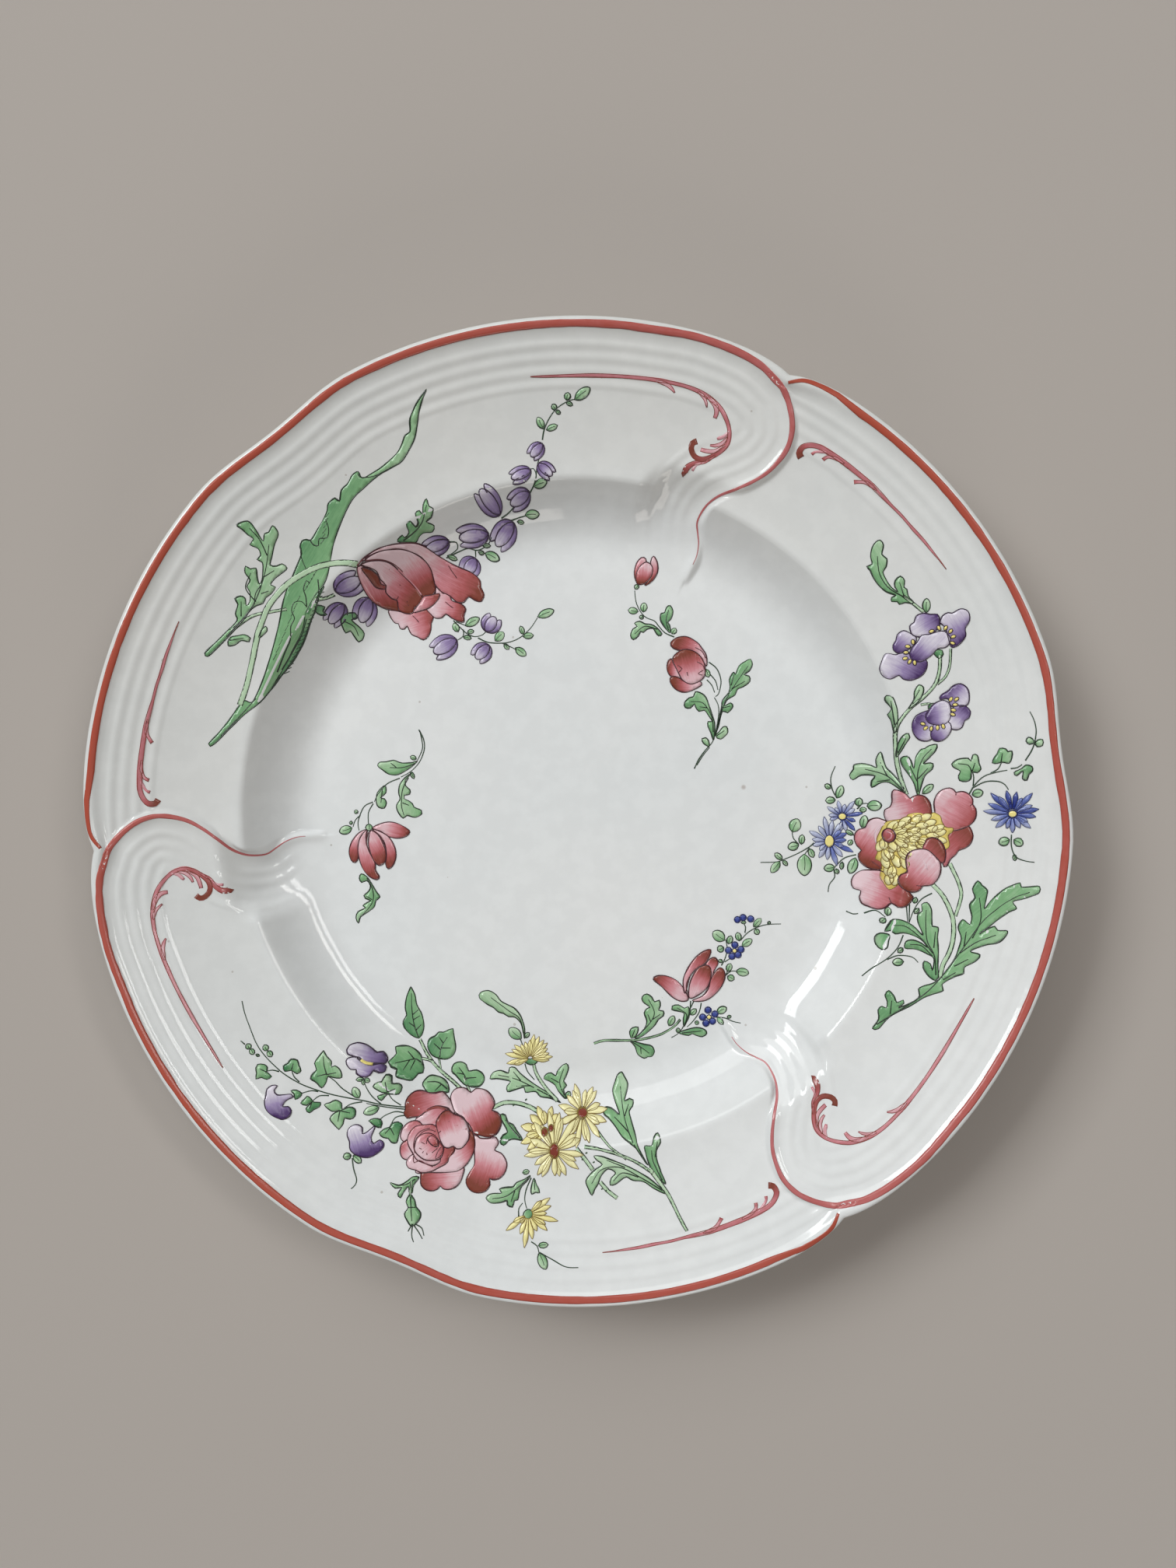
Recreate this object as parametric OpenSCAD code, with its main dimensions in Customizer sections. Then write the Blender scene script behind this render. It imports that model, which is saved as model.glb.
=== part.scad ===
// Round faience serving platter: pressed clay body with a scrolled, ribbed rim in
// three sections, a luted foot ring, a white glaze coat and painted enamel on the glaze.
// Millimetres. The dish lies on its foot ring: Z is up, the origin is the middle of
// the foot ring's bearing plane, and +Y points at the top of the painted design.

/* [Dish] */
// Radius of the plain stretches of the rim
rim_radius = 183.7; // [183:0.1:185]
// Height of the rim's plain edge above the table
rim_height = 41; // [38:0.5:43]
// How much the rim climbs from the shoulder to its edge
rim_rise = 14; // [10:0.5:16]
// Radius where the flat floor of the well ends
floor_radius = 100; // [98:0.5:101]
// Radius of the shoulder between the well and the rim
shoulder_radius = 128.5; // [124:0.5:132]
// Thickness of the dish, glaze included
wall = 5; // [4.5:0.1:6]
// How much thinner the dish is at its edge than at its well
edge_thinning = 1.2; // [0.5:0.1:1.5]

/* [Foot] */
// Height of the foot ring
foot_height = 4; // [3.5:0.1:5]
// Outer radius of the foot ring at its root
foot_radius = 106; // [105:0.5:107]
// Width of the foot ring at its root
foot_width = 6.5; // [6:0.1:7]
// Width of the flat ring that the dish stands on
bearing_width = 3; // [2.5:0.1:3.5]

/* [Rim sections] */
// Direction of the first notch from +X, in degrees
notch_angle = 64; // [60:1:68]
// Depth of each notch in the outline
notch_depth = 3.9; // [3:0.1:4.5]
// Angle from a notch to the shallow hollow in the section after it, in degrees
hollow_angle = 64; // [60:1:68]
// Depth of each shallow hollow in the outline
hollow_depth = 3.1; // [2:0.1:3.5]
// Height of the rolled bead along each section's edge
bead_height = 0.9; // [0.5:0.1:1.2]
// Height of the ribs inside the bead
rib_height = 0.3; // [0.2:0.1:0.6]
// Distance from one rib to the next
rib_pitch = 4.2; // [4:0.1:4.4]

/* [Coats] */
// Thickness of the glaze
glaze = 0.5; // [0.4:0.05:0.6]
// Thickness of the painted enamel on the glaze
enamel = 0.15; // [0.1:0.05:0.25]

/* [Hidden] */

sections = 3;
section_angle = 360 / sections;
well_depth = rim_height - rim_rise - foot_height - wall;
bead_crest = 3;
rib_start = 5.5;
rib_count = 4;
rib_end = rib_start + rib_count * rib_pitch;
hollow_half = 11.5;

clay_colour = "BurlyWood";
glaze_colour = "GhostWhite";
crimson = "Crimson";
rust = "FireBrick";
leaf_green = "MediumSeaGreen";
violet = "SlateBlue";
yellow = "Gold";
blue = "RoyalBlue";

// The scroll line that ends each section, in the flat layout: radius, and angle past the
// notch. The dish's relief follows the same line eased outward by settled().
flat_scroll = [[186, 3.4], [180, 2.2], [176.4, 1], [174, -0.4], [168, -2.3], [164, -3.1],
               [158, -3.75], [152, -3.9], [146, -3.45], [140, -2.15], [135, -0.35],
               [131, 1.5], [128, 2.8], [124, 3.5], [120.5, 3.3], [117, 2.35], [114, 1.5],
               [110, 0.85], [105, 0.7], [98, 1]];
flat_scroll_xy = [for (p = flat_scroll) p[0] * [cos(p[1]), sin(p[1])]];
scroll_table = [for (p = flat_scroll) [settled(p[0]), p[1]]];
scroll_xy = [for (p = scroll_table) p[0] * [cos(p[1]), sin(p[1])]];

// Columns of the surface grid: angles past a section's own scroll line.
columns = [0, 0.8, 1.7, 2.7, 3.7, 4.8, 6, 7.4, 10, 16, 24, 33, 42, 49, 54, 58,
           61, 64, 67, 71, 76, 84, 93, 101, 108, 113, 116.5, 119];

// ---- Small helpers ----

function clamp01(t) = min(1, max(0, t));
function ease(t) = let (c = clamp01(t)) c * c * (3 - 2 * c);
function mix(a, b, t) = a + (b - a) * t;
// Radius of a point of the flat layout, eased outward where the rim dips to its shoulder.
function settled(r) = r * (1 + 0.014 * ease((r - 98) / 30) * ease((186 - r) / 42));
function from_notch(a) = a - section_angle * round(a / section_angle);
function soft_min(a, b, k) = let (h = clamp01(0.5 + (b - a) / (2 * k)))
    mix(b, a, h) - k * h * (1 - h);
function to_segment(p, a, b) =
    let (ab = b - a, t = clamp01((p - a) * ab / (ab * ab))) norm(p - a - t * ab);
function turn(p, angle) = [p[0] * cos(angle) - p[1] * sin(angle),
                           p[0] * sin(angle) + p[1] * cos(angle)];

// ---- Outline and heights. Angles here are past the nearest notch. ----

function hollow_dip(a) = let (k = from_notch(a - hollow_angle))
    abs(k) < hollow_half ? hollow_depth * (1 + cos(180 * k / hollow_half)) / 2 : 0;
function notch_dip(a) = let (n = from_notch(a))
    notch_depth * exp(-abs(n) / (n < 0 ? 3 : 3.8));
function dip(rho, a) = hollow_dip(a) * ease((rho - 130) / 30)
    + notch_dip(a) * ease((rho - 170) / 12);
function scroll_angle(rho) = lookup(rho, scroll_table);

// Signed distance to the scroll line, positive on the side of the section it ends.
function scroll_gap(r, a) =
    abs(a) > 20 ? sign(a) * 60 :
    let (p = r * [cos(a), sin(a)],
         away = min([for (i = [0:len(scroll_xy) - 2])
                     to_segment(p, scroll_xy[i], scroll_xy[i + 1])]))
    a > scroll_angle(r) ? away : -away;

// The wall is a long hollow that turns over sharply at the shoulder.
function cove(rho, low, high) =
    let (t = clamp01((rho - low) / (high - low))) 1 - pow(1 - pow(t, 2.6), 1.3);
function base_top(rho, ramp) =
    foot_height + wall
    + well_depth * mix(cove(rho, floor_radius, shoulder_radius),
                       cove(rho, floor_radius - 2, shoulder_radius + 8), ramp)
    + rim_rise * pow(clamp01((rho - shoulder_radius) / (rim_radius - shoulder_radius)), 1.5);
function bead(d) = bead_height * ease(d / bead_crest)
    * ease((rib_start - d) / (rib_start - bead_crest));
function ribs(d) = d < rib_start || d > rib_end ? 0
    : rib_height * (1 - cos(360 * (d - rib_start) / rib_pitch)) / 2;
function relief(d) = bead(d) + ribs(d);

// Height of the glazed face at nominal radius rho, real radius r, angle a past a notch.
function face_z(rho, r, a) =
    let (gap = scroll_gap(r, a),
         edge = rim_radius - rho,
         inner_fade = ease((rho - floor_radius - 2) / 14),
         own = soft_min(edge, max(gap, 0) + bead_crest, 2),
         side = ease((gap + bead_crest) / bead_crest),
         ramp = side * ease((24 - gap) / 12))
    base_top(rho, ramp)
    + mix(relief(edge), relief(own), side) * inner_fade;
function back_z(rho) =
    base_top(rho - 4, 0) - wall + edge_thinning * ease((rho - 150) / 34);

// Height of the face at a point of the plan.
function dish_z(p) =
    let (r = norm(p), a = from_notch(atan2(p[1], p[0]) - notch_angle),
         rho = r + dip(r, a))
    face_z(rho, r, a);

// ---- The surface grid ----

// Each station is: nominal radius, 0 for the face or 1 for the back, a height
// offset, and the outward direction as radial and upward parts.
face_stations = [for (rho = [100, 108, 114, 119, 122.6, 125.6, 128.4, 134, 148, 161.4, 163.5,
                             165.6, 167.7, 169.8, 171.9, 174, 176.1, 178.2, 180.7])
                 [rho, 0, 0, 0, 1]];
lip_stations = [[182.6, 0, -0.1, 0.5, 0.9], [183.7, 0, -1.3, 0.9, 0.5],
                [184.1, 0, -2.6, 1, 0]];
under_lip = [[183.2, 1, 0.2, 0.6, -0.8]];
back_stations = [for (rho = [178, 165, 150, 138, 132.5, 129, 124, 117, foot_radius + 0.6])
                 [rho, 1, 0, 0, -1]];
back_end = [[foot_radius - foot_width, 1, 0, 0, -1]];

function ring(station, inset) =
    [for (k = [0:sections - 1]) for (s = columns)
        let (rho = station[0],
             a = s + scroll_angle(min(rho, 180)),
             r = rho - dip(rho, a),
             z = station[1] == 1 ? back_z(rho) : face_z(min(rho, 183), r, from_notch(a)),
             phi = notch_angle + section_angle * k + a,
             out = r - inset * station[3])
        [out * cos(phi), out * sin(phi), z + station[2] - inset * station[4]]];

function rings(stations, inset) = [for (s = stations) ring(s, inset)];
function reversed(list) = [for (i = [len(list) - 1:-1:0]) list[i]];

// Closes a stack of rings into a solid: with flat caps, or joined last to first.
module skin(stack, capped) {
    n = len(stack[0]);
    m = len(stack);
    bands = capped ? m - 1 : m;
    walls = [for (j = [0:bands - 1]) for (i = [0:n - 1])
             let (a = j * n + i, b = j * n + (i + 1) % n,
                  c = ((j + 1) % m) * n + i, d = ((j + 1) % m) * n + (i + 1) % n)
             each [[a, b, c], [b, d, c]]];
    caps = capped ? [[for (i = [n - 1:-1:0]) i], [for (i = [0:n - 1]) (m - 1) * n + i]] : [];
    polyhedron(points = [for (r = stack) each r], faces = concat(walls, caps));
}

module clay_body()
    color(clay_colour)
    skin(rings(concat(face_stations, lip_stations, under_lip, back_stations, back_end),
               glaze), true);

module foot_ring() {
    root = foot_height + glaze;
    inner = foot_radius - foot_width;
    middle = foot_radius - foot_width / 2;
    half = bearing_width / 2;
    color(clay_colour)
    rotate_extrude($fn = 180)
    polygon([[inner, root], [middle - half - 0.6, 0.6], [middle - half, 0],
             [middle + half, 0], [middle + half + 0.6, 0.6], [foot_radius, root]]);
}

module face_glaze() {
    stations = concat(face_stations, lip_stations);
    color(glaze_colour)
    skin(concat(rings(stations, 0), reversed(rings(stations, glaze))), true);
}

module back_glaze() {
    stations = concat([lip_stations[2]], under_lip, back_stations);
    color(glaze_colour) {
        skin(concat(rings(stations, 0), reversed(rings(stations, glaze))), false);
        translate([0, 0, foot_height])
        cylinder(r = foot_radius - foot_width - 0.5, h = glaze, $fn = 180);
    }
}

// ---- Painted enamel ----

// A strip that lies on the face and follows points of the flat layout, each with its width.
module stroke(layout, widths) {
    path = [for (p = layout) p * settled(norm(p)) / norm(p)];
    n = len(path);
    sides = [for (i = [0:n - 1])
             let (t = path[min(i + 1, n - 1)] - path[max(i - 1, 0)],
                  u = [-t[1], t[0]] / norm(t), w = widths[i] / 2)
             [path[i] + u * w, path[i] - u * w]];
    low = [for (s = sides) each [[s[0][0], s[0][1], dish_z(s[0])],
                                 [s[1][0], s[1][1], dish_z(s[1])]]];
    high = [for (p = low) p + [0, 0, enamel]];
    h = 2 * n;
    faces = [for (i = [0:n - 2]) let (a = 2 * i, b = a + 1, c = a + 2, d = a + 3)
             each [[h + a, h + c, h + b], [h + b, h + c, h + d],
                   [a, b, c], [b, d, c],
                   [a, c, h + a], [c, h + c, h + a],
                   [b, h + b, d], [d, h + b, h + d]]];
    ends = [[0, h, h + 1], [0, h + 1, 1],
            [h - 2, h - 1, 2 * h - 1], [h - 2, 2 * h - 1, 2 * h - 2]];
    polyhedron(points = concat(low, high), faces = concat(faces, ends));
}

// A leaf or petal from its root to its tip, w wide, its midline bowed sideways.
module blade(root, tip, w, bow = 0, steps = 4) {
    along = tip - root;
    across = [-along[1], along[0]] / norm(along);
    path = [for (i = [0:steps]) let (t = i / steps)
            root + along * t + across * bow * sin(180 * t)];
    stroke(path, [for (i = [0:steps]) max(0.3, w * pow(sin(180 * pow(i / steps, 0.8)), 0.7))]);
}

// A stem through a few points, thinner towards its end.
module stem(path, w0, w1)
    stroke(path, [for (i = [0:len(path) - 1]) mix(w0, w1, i / (len(path) - 1))]);

module blades(list) for (b = list) blade([b[0], b[1]], [b[2], b[3]], b[4], b[5], b[6]);

// A ring of short petals round a middle.
module star(middle, inner, outer, count, w, start = 0)
    for (i = [0:count - 1]) let (a = start + 360 * i / count)
        blade(middle + inner * [cos(a), sin(a)], middle + outer * [cos(a), sin(a)], w, 0, 2);

// The painted line along a section's bead, from its first notch round to its scroll.
module edge_line(k) {
    edge = [for (s = [118.6, 117, 113, 107, 100, 92, 84, 77, 72, 68, 64, 60, 56, 51, 44, 36,
                      28, 20, 13, 8])
            let (r = rim_radius - bead_crest - dip(180.5, s)) r * [cos(s), sin(s)]];
    line = [for (i = [2:len(flat_scroll) - 2]) flat_scroll_xy[i]];
    path = [for (p = concat(edge, line)) turn(p, notch_angle + section_angle * k)];
    n = len(path);
    color(k == 0 ? crimson : rust)
    stroke(path, [for (i = [0:n - 1]) i == 0 ? 0.6 : i < 22 ? 2.4
                  : mix(2.4, 0.5, (i - 22) / (n - 23))]);
}

// The long painted scroll inside the ribs, from its thin end round to its curl.
long_scroll_path = [[-15, 162.5], [0, 162.8], [20, 161.5], [35, 159.5], [47, 155],
                    [54, 149.5], [57.4, 143], [56.5, 136.5], [51.5, 132.5], [46, 132.5],
                    [43, 135], [43, 138.5]];
module long_scroll(k)
    color(crimson)
    stroke([for (p = long_scroll_path) turn(p, section_angle * k)],
           [0.3, 0.6, 0.9, 1.2, 1.3, 1.4, 1.6, 2, 2, 1.8, 1.8, 1.6]);

// The short painted scroll at the start of a section, from its curl to its thin end.
short_scroll_path = [[83.5, 131.5], [82.6, 134.5], [86, 136.6], [91, 135.5], [98, 131],
                     [105, 125], [115, 115.5], [125, 104.5], [134, 91]];
module short_scroll(k)
    color(crimson)
    stroke([for (p = short_scroll_path) turn(p, section_angle * k)],
           [1.8, 2, 2, 2, 1.9, 1.6, 1.1, 0.8, 0.3]);

module tulip_bloom()
    color(crimson)
    blades([[-82, 98, -40, 94, 8, 5, 4], [-82, 93, -38, 84, 9, 1, 4],
            [-81, 89, -52, 77, 7, -2, 4], [-78, 84, -60, 70, 6, -1, 4]]);

module tulip_bells()
    color(violet) {
        blades([[-94, 84, -87, 89, 5, 0, 2], [-98, 75, -93, 80, 5, 0, 2],
                [-84, 74, -80, 81, 5, 0, 2], [-58, 103, -49, 104, 5, 0, 2],
                [-46, 106, -35, 108, 6, 0, 2], [-31, 106, -24, 112, 6, 0, 2],
                [-37, 114, -31, 122, 6, 0, 2], [-24, 117, -17, 119, 5, 0, 2],
                [-23, 127, -17, 126, 5, 0, 2], [-13, 128, -9, 131, 5, 0, 2],
                [-16, 134, -14, 138, 4, 0, 2], [-47, 96, -40, 99, 5, 0, 2],
                [-56, 63, -49, 70, 7, 0, 2], [-40, 62, -37, 67, 5, 0, 2],
                [-37, 73, -31, 76, 5, 0, 2]]);
    }

module tulip_leaves()
    color(leaf_green) {
        blades([[-124, 44, -94, 104, 11, 4, 6], [-93, 106, -80, 126, 5, 1, 4],
                [-78, 127, -55, 157, 3.5, -4, 4], [-136, 61, -120, 90, 5, 2, 4],
                [-119, 92, -112, 109, 5, 0, 3], [-122, 93, -124, 109, 4, 0, 3],
                [-66, 103, -55, 117, 5, 0, 3], [-90, 78, -86, 69, 4, 0, 3]]);
        stem([[-137, 27], [-130, 36], [-125.5, 43]], 1.5, 3);
    }

module anemone_bloom()
    color(crimson)
    blades([[125, 0, 124, 10, 10, 0, 3], [136, 1, 145, 8, 13, 0, 4],
            [116, -10, 110, -2, 10, 0, 3], [120, -26, 110, -31, 9, 0, 4],
            [133, -10, 129, -27, 10, 0, 4]]);

module anemone_stamens()
    color(yellow)
    blades([[119, -22, 122, -8, 5, 1, 3], [123, -6, 137, -2, 5, 2, 3]]);

module anemone_violets()
    color(violet)
    blades([[122, 62, 115, 53, 7, 0, 3], [127, 66, 121, 67, 5, 0, 2],
            [129, 61, 137, 66, 7, 0, 3], [137, 69, 143, 75, 6, 0, 3],
            [132, 71, 130, 76, 5, 0, 2], [128, 33, 127, 40, 5, 0, 2],
            [132, 31, 136, 38, 5, 0, 2], [138, 42, 143, 48, 6, 0, 3],
            [139, 38, 145, 38, 4, 0, 2]]);

module anemone_asters()
    color(blue) {
        star([161, 5], 2, 9, 9, 1.2, 10);
        star([105, 1], 1.5, 5.5, 7, 1.1);
        star([101, -10], 1.5, 6, 8, 1.1, 12);
    }

module anemone_leaves()
    color(leaf_green) {
        blades([[133, -66, 160, -44, 8, 5, 5], [143, -46, 170, -26, 8, 4, 5],
                [143, -44, 150, -25, 6, 0, 4], [131, -58, 121, -40, 5, 3, 4],
                [135, -54, 130, -34, 5, 0, 4], [112, -79, 117, -66, 4, 0, 3],
                [119, 15, 108, 17, 5, 2, 3], [121, 13, 128, 26, 5, 0, 3],
                [121, 34, 118, 44, 4, 0, 3], [127, 80, 120, 86, 3, 0, 2],
                [116, 87, 111, 99, 5, -1, 3], [143, 18, 140, 22, 5, 0, 2],
                [157, 22, 158, 26, 5, 0, 2]]);
        stem([[112, -80], [122, -72], [131, -66.5]], 1, 1.6);
        stem([[140, -30], [141.5, -38], [141, -45]], 1, 1);
        stem([[119, 15.5], [119.5, 25], [120.5, 33]], 0.8, 0.8);
    }

module rose_bloom()
    color(crimson) {
        blades([[-61, -110, -47, -104, 8, 2, 4], [-43, -106, -31, -115, 11, 2, 4],
                [-39, -124, -28, -135, 11, 1, 4], [-48, -133, -61, -138, 7, 0, 4],
                [-53, -110, -42, -122, 6, -1, 3], [-66, -118, -66, -132, 4, 1, 3]]);
        star([-54, -123], 1.5, 6, 5, 3, 40);
    }

module rose_daisies()
    color(yellow) {
        star([2, -115], 2, 8.5, 9, 1.8);
        star([-9, -126], 2, 8.5, 9, 1.8, 20);
        star([-19, -95], 1.5, 7, 7, 1.5);
        star([-16, -152], 1.5, 8, 7, 1.5, 10);
    }

module rose_bindweed()
    color(violet)
    blades([[-87, -91, -75, -97, 6, 0, 3], [-114, -104, -110, -111, 7, 0, 3],
            [-84, -120, -74, -126, 6, 0, 3]]);

module rose_leaves()
    color(leaf_green) {
        blades([[-63, -88, -66, -73, 6, 0, 4], [-61, -92, -73, -100, 7, 0, 3],
                [-53, -97, -50, -87, 7, 0, 3], [-48, -99, -38, -106, 6, 0, 3],
                [-59, -100.5, -51, -103, 4, 0, 2], [-93, -100, -97, -90, 6, 0, 3],
                [-88, -108, -92, -117, 5, 0, 2], [-28, -110, -22, -124, 3, 0, 2],
                [13, -117, 18, -103, 4, 0, 3], [26, -128, 31, -120, 4, 0, 2],
                [24, -132, 7, -136, 5, 3, 4], [-32, -144, -18, -139, 5, 0, 3],
                [-35, -74, -24, -82, 3, 2, 3], [-33, -104, -18, -107, 4, 1, 3],
                [-61, -141, -60, -154, 4, 0, 3], [-8, -107, -4, -100, 4, 0, 2]]);
        stem([[42, -155], [36, -144], [28, -133.5]], 0.8, 1.6);
        stem([[-117, -88], [-104, -101], [-89, -106], [-70, -110]], 0.5, 0.8);
    }

module left_sprig_bloom()
    color(crimson)
    blades([[-77, -8, -67, -9, 4, 1, 3], [-79, -9, -79, -26, 4, 1, 3],
            [-83, -9, -90, -20, 4, -1, 3], [-76, -11, -72, -22, 4, 1, 3]]);
module left_sprig_leaves()
    color(leaf_green) {
        blades([[-64, 20, -78, 18, 4, 1, 3], [-68, 14, -66, 1, 4, -1, 4],
                [-79, 6, -78, 12, 2, 0, 2], [-93, -7, -88, -5, 2.5, 0, 2],
                [-83, -28, -86, -42, 4, 0, 4]]);
        stem([[-62, 32], [-61.5, 27], [-64, 21.5]], 0.8, 0.8);
    }

module top_sprig_bloom()
    color(crimson)
    blades([[28, 89, 27.5, 100, 7, 0, 3], [49, 55, 38, 60, 6, 0, 3],
            [50, 61, 38, 66, 5, 2, 3], [49, 50, 37, 53, 5, -1, 3]]);
module top_sprig_leaves()
    color(leaf_green) {
        blades([[57, 40, 67, 60, 5, 1, 4], [53, 38, 43, 46, 4, 2, 3],
                [37, 73, 35, 81, 3.5, 0, 2], [31, 77, 22, 72, 3, 2, 2]]);
        stem([[47, 18], [51, 26], [54.5, 36]], 0.7, 0.9);
    }

module low_sprig_bloom()
    color(crimson)
    blades([[43, -73, 32, -65, 4, 1, 3], [47, -74, 52, -55, 6, 3, 4],
            [50, -73, 58, -60, 5, -1, 4]]);
module low_sprig_berries()
    color(blue) {
        star([62, -53], 1, 2.6, 5, 1.2);
        star([53, -79], 1, 2.6, 5, 1.2);
        star([67, -42], 0.8, 2.2, 4, 1.1);
    }
module low_sprig_leaves()
    color(leaf_green) {
        blades([[24, -89, 31, -73, 4, -1, 3], [23, -92, 29, -97, 4, 0, 2],
                [40, -87, 50, -87, 3, 1, 3], [41, -84, 40, -78, 3, 0, 2],
                [57, -51, 55, -47, 3, 0, 2], [61, -63, 67, -63, 2.5, 0, 2]]);
        stem([[7, -91], [15, -90.8], [22, -90.5]], 0.5, 0.7);
        stem([[26, -90.5], [33, -88.5], [38.5, -85.5]], 0.7, 0.6);
    }

clay_body();
foot_ring();
face_glaze();
back_glaze();
edge_line(0);  // edge_line_upper
edge_line(1);  // edge_line_lower
edge_line(2);  // edge_line_right
long_scroll(0);  // long_scroll_upper
long_scroll(1);  // long_scroll_lower
long_scroll(2);  // long_scroll_right
short_scroll(0);  // short_scroll_right
short_scroll(1);  // short_scroll_upper
short_scroll(2);  // short_scroll_lower
tulip_bloom();
tulip_bells();
tulip_leaves();
anemone_bloom();
anemone_stamens();
anemone_violets();
anemone_asters();
anemone_leaves();
rose_bloom();
rose_daisies();
rose_bindweed();
rose_leaves();
left_sprig_bloom();
left_sprig_leaves();
top_sprig_bloom();
top_sprig_leaves();
low_sprig_bloom();
low_sprig_berries();
low_sprig_leaves();
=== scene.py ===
"""Round faience serving platter: glazed dish, painted edge, scrolls and flower sprays."""

import math

import bpy
import numpy as np
from mathutils import Matrix, Vector, geometry
from mathutils.bvhtree import BVHTree


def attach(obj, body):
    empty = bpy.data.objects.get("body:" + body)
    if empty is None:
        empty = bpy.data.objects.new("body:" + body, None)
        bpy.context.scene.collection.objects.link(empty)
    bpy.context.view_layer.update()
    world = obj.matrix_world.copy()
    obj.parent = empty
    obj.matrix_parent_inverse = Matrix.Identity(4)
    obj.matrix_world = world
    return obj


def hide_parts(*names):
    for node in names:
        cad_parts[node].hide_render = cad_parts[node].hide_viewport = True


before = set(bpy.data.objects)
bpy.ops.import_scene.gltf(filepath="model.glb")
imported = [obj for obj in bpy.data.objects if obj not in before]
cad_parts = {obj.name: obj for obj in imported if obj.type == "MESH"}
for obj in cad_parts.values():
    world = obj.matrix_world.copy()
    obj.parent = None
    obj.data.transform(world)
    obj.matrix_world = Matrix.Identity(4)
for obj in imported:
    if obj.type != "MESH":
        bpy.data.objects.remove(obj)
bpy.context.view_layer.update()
MM = 0.001
rng = np.random.default_rng(7)


# ---------------------------------------------------------------- helpers

def ease(t):
    """A smooth step from 0 to 1."""
    t = np.clip(t, 0.0, 1.0)
    return t * t * (3 - 2 * t)


def mix(a, b, t):
    """a where t is 0, b where it is 1."""
    return a + (b - a) * t


def rot(points, degrees):
    """Points turned about the middle of the dish."""
    c, s = math.cos(math.radians(degrees)), math.sin(math.radians(degrees))
    p = np.asarray(points, float)
    return np.stack([p[..., 0] * c - p[..., 1] * s, p[..., 0] * s + p[..., 1] * c], -1)


def spline(points, step=1.0, closed=False):
    """Smooth curve through points (Catmull-Rom), resampled to about step. A point given
    twice running is a corner."""
    p = [np.asarray(q, float) for q in points]
    n = len(p)
    out = []
    for i in range(n if closed else n - 1):
        a, b = p[i], p[(i + 1) % n]
        gap = np.linalg.norm(b - a)
        if gap < 1e-6:
            continue
        before = p[i - 1] if (closed or i > 0) else a
        after = p[(i + 2) % n] if (closed or i + 2 < n) else b
        ta, tb = (b - before) / 2, (after - a) / 2
        if np.linalg.norm(before - a) < 1e-6:
            ta = (b - a) * 0.6
        if np.linalg.norm(after - b) < 1e-6:
            tb = (b - a) * 0.6
        la, lb = np.linalg.norm(ta), np.linalg.norm(tb)
        ta = ta * min(1, 1.3 * gap / max(la, 1e-9))
        tb = tb * min(1, 1.3 * gap / max(lb, 1e-9))
        for t in np.arange(0, 1, 1 / max(1, round(gap / step))):
            t2, t3 = t * t, t * t * t
            out.append((2 * t3 - 3 * t2 + 1) * a + (t3 - 2 * t2 + t) * ta
                       + (3 * t2 - 2 * t3) * b + (t3 - t2) * tb)
    if not closed:
        out.append(p[-1])
    return np.array(out)


# ---------------------------------------------------------------- the dish's shape, in mm

NOTCH, SECTOR = 64.0, 120.0         # direction of the first notch, and from one to the next
RIM, SHOULDER, FLOOR = 183.7, 128.5, 100.0      # radii of the edge, shoulder and well's floor
WELL, RIM_Z, RIM_RISE = 9.0, 41.0, 14.0         # heights of the well and the edge, rim's climb
WALL, GLAZE = 5.0, 0.5              # thickness of the dish, and of its glaze
CORE = 0.55                         # depth of the clay core below the glazed surface
LINE = 3.2                          # middle of the painted edge line, in from the outline
BEAD, BEAD_HALF = 0.85, 2.0         # height and half width of the bead under that line
RIB, RIBS = 4.5, 4                  # rib pitch and count
RIB_HEIGHT, RIB_START = 0.3, 4.2    # rib height, and where the first starts past the line
SETTLE = 0.014                      # most that the flat layout is eased outward


def settle(points):
    """Eases points of the flat layout outward where the rim dips towards its shoulder."""
    p = np.array(points, float)
    r = np.linalg.norm(p, axis=-1, keepdims=True)
    return p * (1 + SETTLE * ease((r - 98) / 30) * ease((186 - r) / 42))


# The line that ends the upper section: along the rim, round its hook and down into the well.
SCROLL = [
    (20, 179.3), (40, 176.2), (50, 173.5), (60, 169.5), (68, 164.8), (73, 160), (76.5, 156),
    (78.6, 151), (79.7, 145), (79.5, 140), (78, 135), (75, 130.5), (71, 126.5), (66, 123.5),
    (60, 121), (54, 119.3), (50, 117), (47.5, 114), (46.3, 111), (46.8, 107.5), (47.3, 104),
    (46.8, 100), (45.5, 97)
]
flat_line = spline(SCROLL, 0.7)
scroll_line = settle(flat_line)
scroll_rel = rot(scroll_line, -NOTCH)       # with the notch turned onto +X
scroll_turn = np.degrees(np.arctan2(scroll_rel[:, 1], scroll_rel[:, 0]))
tail = scroll_rel[np.hypot(*scroll_rel.T) < 177.2]
# Radii of the scroll's points, growing, and the angle past the notch at each.
TABLE_R = np.r_[88, np.hypot(*tail.T)[::-1], 180, 184, 190]
TABLE_A = np.r_[1.0, np.degrees(np.arctan2(tail[::-1, 1], tail[::-1, 0])), 1.0, 1.3, 1.6]
order = np.argsort(TABLE_R)
TABLE_R, TABLE_A = TABLE_R[order], TABLE_A[order]


def from_notch(a):
    """The angle past the nearest notch."""
    return a - SECTOR * np.round(a / SECTOR)


def scroll_angle(r):
    """The angle at which the scroll crosses radius r."""
    return np.interp(r, TABLE_R, TABLE_A)


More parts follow.
